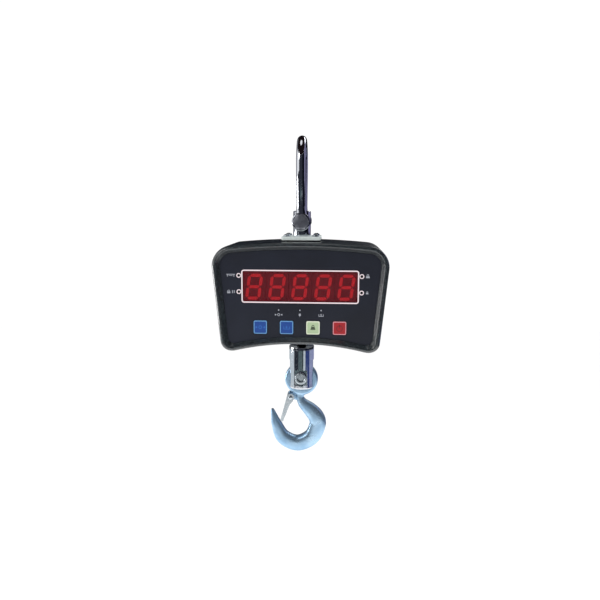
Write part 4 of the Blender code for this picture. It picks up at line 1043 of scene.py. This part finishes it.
LAMP_RING = (3.25 * MM, 2.0 * MM)
MARK_BELOW = 6.4 * MM
side_marks = {"lamp_left_upper": ("table", 11), "lamp_left_lower": ("lock", 11),
              "lamp_right_upper": ("heavy", 8), "lamp_right_lower": ("light", 7.5)}
rings, marks = [], []
for lamp, (mark, out) in side_marks.items():
    spot = middle(lamp)
    rings.append(ink_ring(*LAMP_RING, PANEL, spot.x, spot.z))
    marks += ink_mark(mark, PANEL, spot.x + math.copysign(out * MM, spot.x), spot.z)
for lamp, mark in zip(SMALL_LAMPS, ("zero", "plug", "tray")):
    marks += ink_mark(mark, PANEL, middle(lamp).x, middle(lamp).z - MARK_BELOW)
place_piece("lamp_rings_print", joined(*rings), white_ink, "scale_body", "face_panel")
place_piece("face_marks_print", joined(*marks), grey_ink, "scale_body", "face_panel")
print(f"face film with {len(rings) + len(marks)} printed shapes")

# %% [markdown]
# ## Window
#
# The acrylic window is let into the film and has its edge polished round. A pinkish-white
# border is printed along its edge.

# %% Window and border
BORDER, EDGE_GAP = 1.7 * MM, 0.3 * MM
glass_front, glass_spot = low("display_window").y, middle("display_window")


def glass_outline(inset, corner):
    return rounded_box(size("display_window").x - 2 * inset, size("display_window").z - 2 * inset, corner)


polished = ((0.4 * MM, 0), (0.12 * MM, 0.12 * MM), (0, 0.4 * MM), (0, size("display_window").y))
pane = lofted(*[(glass_outline(inset, 4 * MM), glass_front + depth) for inset, depth in polished])
border = band(glass_outline(EDGE_GAP, 3.7 * MM), glass_outline(EDGE_GAP + BORDER, 1.8 * MM),
              glass_front - 0.12 * MM, glass_front - 0.01 * MM)
place_piece("acrylic_window", at(pane, glass_spot), acrylic, "scale_body", "red_window", "display_window")
place_piece("window_border_print", at(border, glass_spot), white_ink, "scale_body", "red_window")

# %% [markdown]
# ## Digits
#
# Each digit module has seven bars with mitred ends, leaning eight degrees, and a round point at
# its lower right. One bar's outline, turned and shifted, makes them all.

# %% Digit modules
DIGIT_HEIGHT, DIGIT_WIDTH = 35.5 * MM, 20.8 * MM
STROKE, SPLIT = 4.2 * MM, 1.2 * MM
DIGIT_LEAN = math.tan(math.radians(8))
DIGIT_DROP = 1.0 * MM
BAR_PROUD = 0.35 * MM


def bar(length):
    """A horizontal bar with pointed ends, around its middle."""
    reach, edge = length / 2, STROKE / 2
    return [(-reach, 0), (edge - reach, -edge), (reach - edge, -edge), (reach, 0), (reach - edge, edge),
            (edge - reach, edge)]


def seven_bars():
    """Outlines of the seven bars round a digit's middle, leaning to the right."""
    across, up = DIGIT_WIDTH - STROKE, (DIGIT_HEIGHT - STROKE) / 2
    flat = bar(across - 2 * SPLIT * 0.7)
    upright = [(z, x) for x, z in bar(up - 2 * SPLIT * 0.7)]
    places = [(flat, 0, up), (flat, 0, 0), (flat, 0, -up)]
    places += [(upright, side * across / 2, level * up / 2) for side in (-1, 1) for level in (-1, 1)]
    return [[(px + x + (pz + z) * DIGIT_LEAN, pz + z) for px, pz in outline] for outline, x, z in places]


for number in range(1, 6):
    node = f"digit_{number}"
    front, spot = low(node).y, middle(node)
    across, up = size(node).x / 2, size(node).z / 2
    body = eased(at(prism([(-across, -up), (across, -up), (across, up), (-across, up)], front, high(node).y),
                    spot), 0.3 * MM)
    point = disc(1.9 * MM, 12.4 * MM, -DIGIT_HEIGHT / 2 + 1.9 * MM, 24)
    shapes = [(body, 0)]
    for outline, part in [(lit, 1) for lit in seven_bars()] + [(point, 0)]:
        raised = prism(outline, front - BAR_PROUD, front - 0.02 * MM)
        shapes.append((moved(raised, spot.x, 0, spot.z - DIGIT_DROP), part))
    place_piece(f"led_digit_{number}", joined(*shapes), [reflector, segment_red_painted_glow], "scale_body", "digit_module",
                node)
print("five digits ready")

# %% [markdown]
# ## Lamps and keys
#
# The side lamps are smoked lenses inside their white rings, and the small ones are milky. Each
# key is a moulded cap: its border stands round a slightly sunken coloured face that carries one
# dark pictogram.

# %% Lamps
for lamp in SIDE_LAMPS + SMALL_LAMPS:
    radius, tip = size(lamp).x / 2, low(lamp).y
    profile = [(radius, high(lamp).y), *dome(radius, tip + radius * 0.5, tip, 0), (radius * 0.05, tip)]
    place_piece(f"{lamp}_lens", at(turned(profile, "Y", 28), middle(lamp)),
                smoked_lens if lamp in SIDE_LAMPS else milky_lens, "scale_body", "lamp_lens", lamp)

# %% Keys
KEY_BORDER, SUNK = 1.3 * MM, 0.25 * MM
KEY_PRINTS = {"key_zero": ("zero", "blue_key"), "key_tare": ("tray", "blue_key"),
              "key_hold": ("heavy", "green_key"), "key_power": ("power", "red_key")}
for key, (mark, slot) in KEY_PRINTS.items():
    side, front = size(key).x, low(key).y
    section = [(0, high(key).y), (0, front + 0.5 * MM), (0.15 * MM, front + 0.15 * MM), (0.5 * MM, front),
               (KEY_BORDER - 0.25 * MM, front), (KEY_BORDER, front + SUNK)]
    cap = lofted(*[(rounded_box(side - 2 * inset, side - 2 * inset, max(2.0 * MM - inset * 0.6, 0.8 * MM)), y)
                   for inset, y in section])
    coloured, printed = side - 2 * KEY_BORDER - 0.1 * MM, front + SUNK - 0.12 * MM
    face_print = rounded_box(coloured, coloured, 0.9 * MM)
    inlay = eased(prism(face_print, printed, front + SUNK - 0.01 * MM), 0.04 * MM)
    shapes = [(cap, 0), (inlay, 1)] + [(ink, 2) for ink in ink_mark(mark, printed, scale=1.3)]
    place_piece(f"{key}_cap", at(joined(*shapes), middle(key)), key_finishes[key], key, slot, key)
print("lamps and keys ready")

# %% [markdown]
# ## Swivel stud, cap and clevis
#
# Under the case a blackened stud with a coarse thread goes into the clevis, where its head
# turns on a ball race. The clevis is a chromed cylinder with a slot for the hook's eye and a
# flat on each side for the bolt's head and nut; the cap closes its top.

# %% Swivel stud
stud_low, stud_high = low("swivel_stud").z, high("swivel_stud").z
head_top = low("thrust_washer_lower").z - CLEAR
head_radius = size("swivel_stud").x / 2
stud_head = turned([(STUD / 2 - 1.1 * MM, head_top + MM), (head_radius - 0.8 * MM, head_top),
                    (head_radius, head_top - 0.8 * MM), (head_radius, stud_low + 0.8 * MM),
                    (head_radius - 0.8 * MM, stud_low)], sides=60)
stud_thread = threaded(STUD, 2 * MM, head_top + 0.5 * MM, stud_high, steps=6)
place_piece("threaded_stud", joined(stud_head, stud_thread), black_oxide, "scale_body", "plain_steel",
            "swivel_stud")

# %% Swivel cap and clevis
cap_low, cap_high = low("swivel_cap").z, high("swivel_cap").z
clevis_low, clevis_high = low("clevis").z, high("clevis").z
CLEVIS, CLEVIS_BORE, SLOT = 36 * MM, 27 * MM, 14 * MM
FLAT_DEPTH, FLAT_HEIGHT = 2.2 * MM, 22 * MM
CLEVIS_BOLT = 14.4 * MM
radius = CLEVIS / 2
flange_under = clevis_high + CLEAR
plug = CLEVIS_BORE / 2 - CLEAR
hole = STUD / 2 + 0.5 * MM
cap_profile = [(radius - 0.8 * MM, cap_high), (radius - 0.25 * MM, cap_high - 0.25 * MM),
               (radius, cap_high - 0.8 * MM), (radius, flange_under + 0.3 * MM),
               (radius - 0.3 * MM, flange_under), (plug, flange_under), (plug, cap_low), (hole, cap_low),
               (hole, cap_high - 0.5 * MM), (hole + 0.5 * MM, cap_high)]
place_piece("clevis_cap", turned(cap_profile, sides=96, hollow=True), chrome, "clevis", "bright_chrome",
            "swivel_cap")

ease = 2.8 * MM
clevis_profile = [(radius - 0.4 * MM, clevis_high), (radius, clevis_high - 0.4 * MM)]
clevis_profile += arc((radius - ease, clevis_low + ease), ease, 0, -90, 8) + [(radius * 0.4, clevis_low)]
slot_top = stud_low - CLEAR
slot_foot = clevis_low - 10 * MM
slot_tool = prism([(-CLEVIS, slot_foot), (CLEVIS, slot_foot), (CLEVIS, slot_top), (-CLEVIS, slot_top)],
                  -SLOT / 2, SLOT / 2)
flats = [prism(rounded_box(CLEVIS, FLAT_HEIGHT, 2.5 * MM), side * (radius - FLAT_DEPTH), side * CLEVIS)
         for side in (-1, 1)]
cross_bore = rod(CLEVIS_BOLT + 0.6 * MM, -CLEVIS, CLEVIS, "Y")
at_bolt = [moved(tool, 0, 0, CLEVIS_BOLT_Z) for tool in (*flats, cross_bore)]
clevis_mesh = cut(turned(clevis_profile, sides=96), slot_tool, *at_bolt,
                  rod(CLEVIS_BORE, slot_top - MM, clevis_high + MM))
clevis_mesh = eased(clevis_mesh, 0.35 * MM, 2, 40)
place_piece("slotted_clevis", clevis_mesh, chrome, "clevis", "bright_chrome", "clevis")
print(f"clevis: {len(clevis_mesh.polygons)} faces")

# %% [markdown]
# ## Clevis bolt
#
# A shouldered socket-head bolt carries the hook's eye. Its head is bright, with a rounded edge
# and a hexagon socket, and a nut holds it behind.

# %% Clevis bolt and nut
bolt_front = low("clevis_bolt").y
seat_y = radius - FLAT_DEPTH + CLEAR
HEAD_RADIUS, SOCKET, THREAD = 8.5 * MM, 9.5 * MM, 10 * MM
CORE = THREAD / 2 - 1 * MM
profile = [(HEAD_RADIUS - 1.2 * MM, bolt_front)]
profile += arc((HEAD_RADIUS - 1.0 * MM, bolt_front + 1.0 * MM), 1.0 * MM, -80, 0, 5)
profile += [(HEAD_RADIUS, -seat_y), (CLEVIS_BOLT / 2, -seat_y), (CLEVIS_BOLT / 2, seat_y - 0.6 * MM),
            (CORE, seat_y - 0.6 * MM), (CORE, seat_y)]
mouth = turned(((SOCKET / 2 + 0.2 * MM, bolt_front + 0.6 * MM), (SOCKET / 2 + 1.0 * MM, bolt_front - 0.2 * MM),
                (SOCKET / 2 + 1.0 * MM, bolt_front - MM)), "Y", 48)
six = prism(disc(SOCKET / math.sqrt(3), sides=6, turn=0.2), bolt_front - MM, bolt_front + 3.4 * MM)
bolt_thread = threaded(THREAD, 1.5 * MM, seat_y - 0.8 * MM, high("clevis_bolt").y, "Y")
clevis_bolt_mesh = joined(cut(turned(profile, "Y", 72), mouth, six), bolt_thread)
clevis_nut_mesh = nut(16 * MM, THREAD + 0.6 * MM, seat_y, high("clevis_nut").y)
for name, mesh, node in (("shouldered_bolt", clevis_bolt_mesh, "clevis_bolt"),
                         ("clevis_hex_nut", clevis_nut_mesh, "clevis_nut")):
    place_piece(name, moved(mesh, 0, 0, CLEVIS_BOLT_Z), sheet_zinc, "clevis", "plain_steel", node)

# %% [markdown]
# ## Hook
#
# The hook is a drop forging: a round eye, a narrow neck and a bowl that swells where the load
# sits and tapers to the point. We sweep a softly squared section along its bent line, add the
# eye and the lug for the latch, and remesh the three together with small voxels. Smoothing the
# result gives the continuous fillets that hot metal takes in a die.

# %% Hook
HOOK_EYE, HOOK_HOLE, EYE_THICK = 24 * MM, 12.9 * MM, 12 * MM
eye_z = CLEVIS_BOLT_Z - (HOOK_HOLE - CLEVIS_BOLT / 2 - CLEAR)
hook_base = eye_z - HOOK_EYE
VOXEL = 0.65 * MM
# Sections from the eye to the point: x, z below the eye, width and thickness, in millimetres.
HOOK_SECTIONS = (
    (-1.0, 4.5, 16.0, 11.0), (-2.0, -4.5, 11.0, 11.5), (2.5, -13.5, 15.0, 13.5), (12.5, -22.8, 20.5, 16.0),
    (21.5, -33.5, 23.5, 18.0), (24.0, -45.5, 24.5, 18.0), (15.0, -65.3, 24.0, 18.0), (-6.0, -75.2, 23.0, 18.0),
    (-27.0, -66.2, 21.5, 17.0), (-37.0, -46.0, 15.0, 15.0), (-40.4, -34.5, 9.5, 12.0), (-43.4, -23.5, 4.0, 8.0),
)


def smooth_rows(rows, steps):
    """A smooth curve (Catmull-Rom) through the rows of a table."""
    last = len(rows) - 1
    made = []
    for i in range(last):
        p0, p1, p2, p3 = [Vector(rows[min(max(i + k, 0), last)]) for k in (-1, 0, 1, 2)]
        for step in range(steps):
            t = step / steps
            made.append(0.5 * (2 * p1 + (p2 - p0) * t + (2 * p0 - 5 * p1 + 4 * p2 - p3) * t ** 2
                               + (3 * p1 - p0 - 3 * p2 + p3) * t ** 3))
    return made + [Vector(rows[last])]


rows = [row * MM for row in smooth_rows(HOOK_SECTIONS, 8)]
FULLNESS = 2.9


def forged_section(number):
    """A squared round, as (thickness, width) points."""
    width, thickness = rows[number][2:]
    points = []
    for s, c in disc(1, sides=48):
        swell = (abs(c) ** FULLNESS + abs(s) ** FULLNESS) ** (-1 / FULLNESS)
        points.append((thickness / 2 * s * swell, width / 2 * c * swell))
    return points


line = [Vector((row[0], 0, row[1] + hook_base)) for row in rows]
bowl = swept(line, lambda point: Vector((0, 1, 0)), forged_section)
half, soft = EYE_THICK / 2, 3 * MM
eye_wall = []
for x, y, start in ((HOOK_EYE - soft, half - soft, 90), (HOOK_EYE - soft, soft - half, 0),
                    (HOOK_HOLE + soft, soft - half, -90), (HOOK_HOLE + soft, half - soft, 180)):
    eye_wall += arc((x, y), soft, start, start - 90)
eye = moved(turned(eye_wall, "Y", 96, hollow=True), 0, 0, eye_z)
LUG, LUG_HEIGHT, RIVET_HOLE = 6 * MM, 9 * MM, 4.6 * MM
lug = moved(rod(LUG_HEIGHT, -LUG / 2, LUG / 2, "Y", 40), *LATCH)
web = moved(prism([(LATCH.x, -LUG_HEIGHT / 2), (0, -LUG_HEIGHT / 2 - 2 * MM), (0, LUG_HEIGHT / 2 + 2 * MM),
                   (LATCH.x, LUG_HEIGHT / 2)], -LUG / 2, LUG / 2), 0, 0, LATCH.z)
blank = joined(bowl, eye, lug, web)
forging = applied(blank, "REMESH", mode="VOXEL", voxel_size=VOXEL)
forging = applied(forging, "SMOOTH", factor=0.5, iterations=8)
rivet_bore = moved(rod(RIVET_HOLE, -EYE_THICK, EYE_THICK, "Y", 32), *LATCH)
hook_mesh = sharpened(cut(forging, rivet_bore), 60)
place_piece("forged_hook", hook_mesh, forged_zinc, "hook", "bright_zinc", "hook")
print(f"hook: {len(hook_mesh.polygons)} faces")

# %% [markdown]
# ## Latch, pin and spring
#
# The latch is a strip of zinc-plated sheet folded into a channel, which straddles the lug and
# closes the hook's mouth. A rivet is its pivot, and a torsion spring on the rivet holds it shut.

# %% Latch
LATCH_HEAD = 5.6 * MM
LATCH_LENGTH = 38.5 * MM
LATCH_LEAN = math.radians(19)
LATCH_TIP = 4.4 * MM
LATCH_HALF = size("latch").y / 2
SHEET = 1.4 * MM

down = Vector((-math.sin(LATCH_LEAN), -math.cos(LATCH_LEAN)))
left = Vector((down.y, -down.x))


def leaning(*points):
    """(x, z) of points given as their ways to the left and down along the latch."""
    return [tuple(left * a + down * b) for a, b in points]


side_points = leaning(*[(a, -b) for a, b in arc((0, 0), LATCH_HEAD, 0, 180, 20)],
                      (-LATCH_HEAD * 0.85, LATCH_LENGTH * 0.12), (-LATCH_HEAD * 0.45, LATCH_LENGTH * 0.28),
                      (LATCH_HEAD - 2.8 * MM - LATCH_TIP, LATCH_LENGTH), (LATCH_HEAD - 2.8 * MM, LATCH_LENGTH))
channel = [tuple(Vector(point) - left * SHEET) for point in side_points]
reach, inner = 2.2 * LATCH_HEAD, LATCH_HALF - SHEET
opening = leaning((-reach, -reach), (reach, -reach), (reach, 1.3 * LATCH_HEAD), (-reach, 1.3 * LATCH_HEAD))
latch_mesh = cut(prism(side_points, -LATCH_HALF, LATCH_HALF), prism(channel, -inner, inner),
                 prism(opening, -inner, inner), rod(RIVET_HOLE, -2 * LATCH_HALF, 2 * LATCH_HALF, "Y", 32))
latch_mesh = eased(latch_mesh, 0.3 * MM, 2, 40)
place_piece("folded_latch", moved(latch_mesh, *LATCH), sheet_zinc, "latch", "bright_zinc", "latch")

# %% Latch rivet and spring
RIVET, WIRE = 4 * MM, 0.9 * MM
rivet_head, outer_face, rivet_end = size("latch_pin").x / 2, LATCH_HALF + CLEAR, high("latch_pin").y
crown = [(RIVET / 2, outer_face), (rivet_head, outer_face)]
crown += dome(rivet_head, outer_face, rivet_end, 0.25) + [(0.1 * MM, rivet_end)]
tail = [(r, -y) for r, y in reversed(crown)]
place_piece("latch_rivet", moved(turned(tail + crown, "Y", 32), *LATCH), sheet_zinc, "hook", "bright_zinc",
            "latch_pin")

coil_radius = RIVET / 2 + WIRE / 2 + 0.5 * MM
start_y = WIRE / 2 + CLEAR - inner
turns = [i / 24 for i in range(2 * 24 + 1)]
coil = [Vector((coil_radius * math.cos(2 * math.pi * t), start_y + (WIRE + 0.6 * MM) * t,
                coil_radius * math.sin(2 * math.pi * t))) for t in turns]
wire = disc(WIRE / 2, sides=12)
spring = swept(coil, lambda point: Vector((point.x, 0, point.z)).normalized(), lambda number: wire)
place_piece("latch_torsion_spring", moved(spring, *LATCH), spring_steel, "latch", "plain_steel", "latch_spring")
print("latch ready")

# %% [markdown]
# ## What stays plain
#
# Sealed inside the case and the clevis are pieces that are only seen when the scale is taken
# apart. Their plain shapes are already right, so they keep them and take a proper finish.

# %% Finishes for the pieces inside
INSIDE = {
    ground_steel: ("post_lock_nut", "stud_lock_nut", "thrust_washer_upper", "thrust_washer_lower"),
    cell_steel: ("load_cell",), board_resin: ("display_board", "main_board"), nitrile: ("case_seal",),
    dark_abs: ("buzzer",), battery_wrap: ("battery",), cage_brass: ("ball_cage",),
}
for material, nodes in INSIDE.items():
    for node in nodes:
        for slot in frame["nodes"][node].material_slots:
            slot.material = material
print(f"{sum(len(nodes) for nodes in INSIDE.values())} plain pieces finished")

# %% [markdown]
# ## Sizes and the last line
#
# The finished model must fill the same box as the plain one, so both boxes are printed side by side
# at the end.

# %% Note both boxes and finish
finished_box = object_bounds()
boxes = {"plain": [list(corner) for corner in plain_box], "finished": [list(corner) for corner in finished_box]}
for name, (lowest, highest) in boxes.items():
    print(name, [round((b - a) / MM, 1) for a, b in zip(lowest, highest)], "mm")
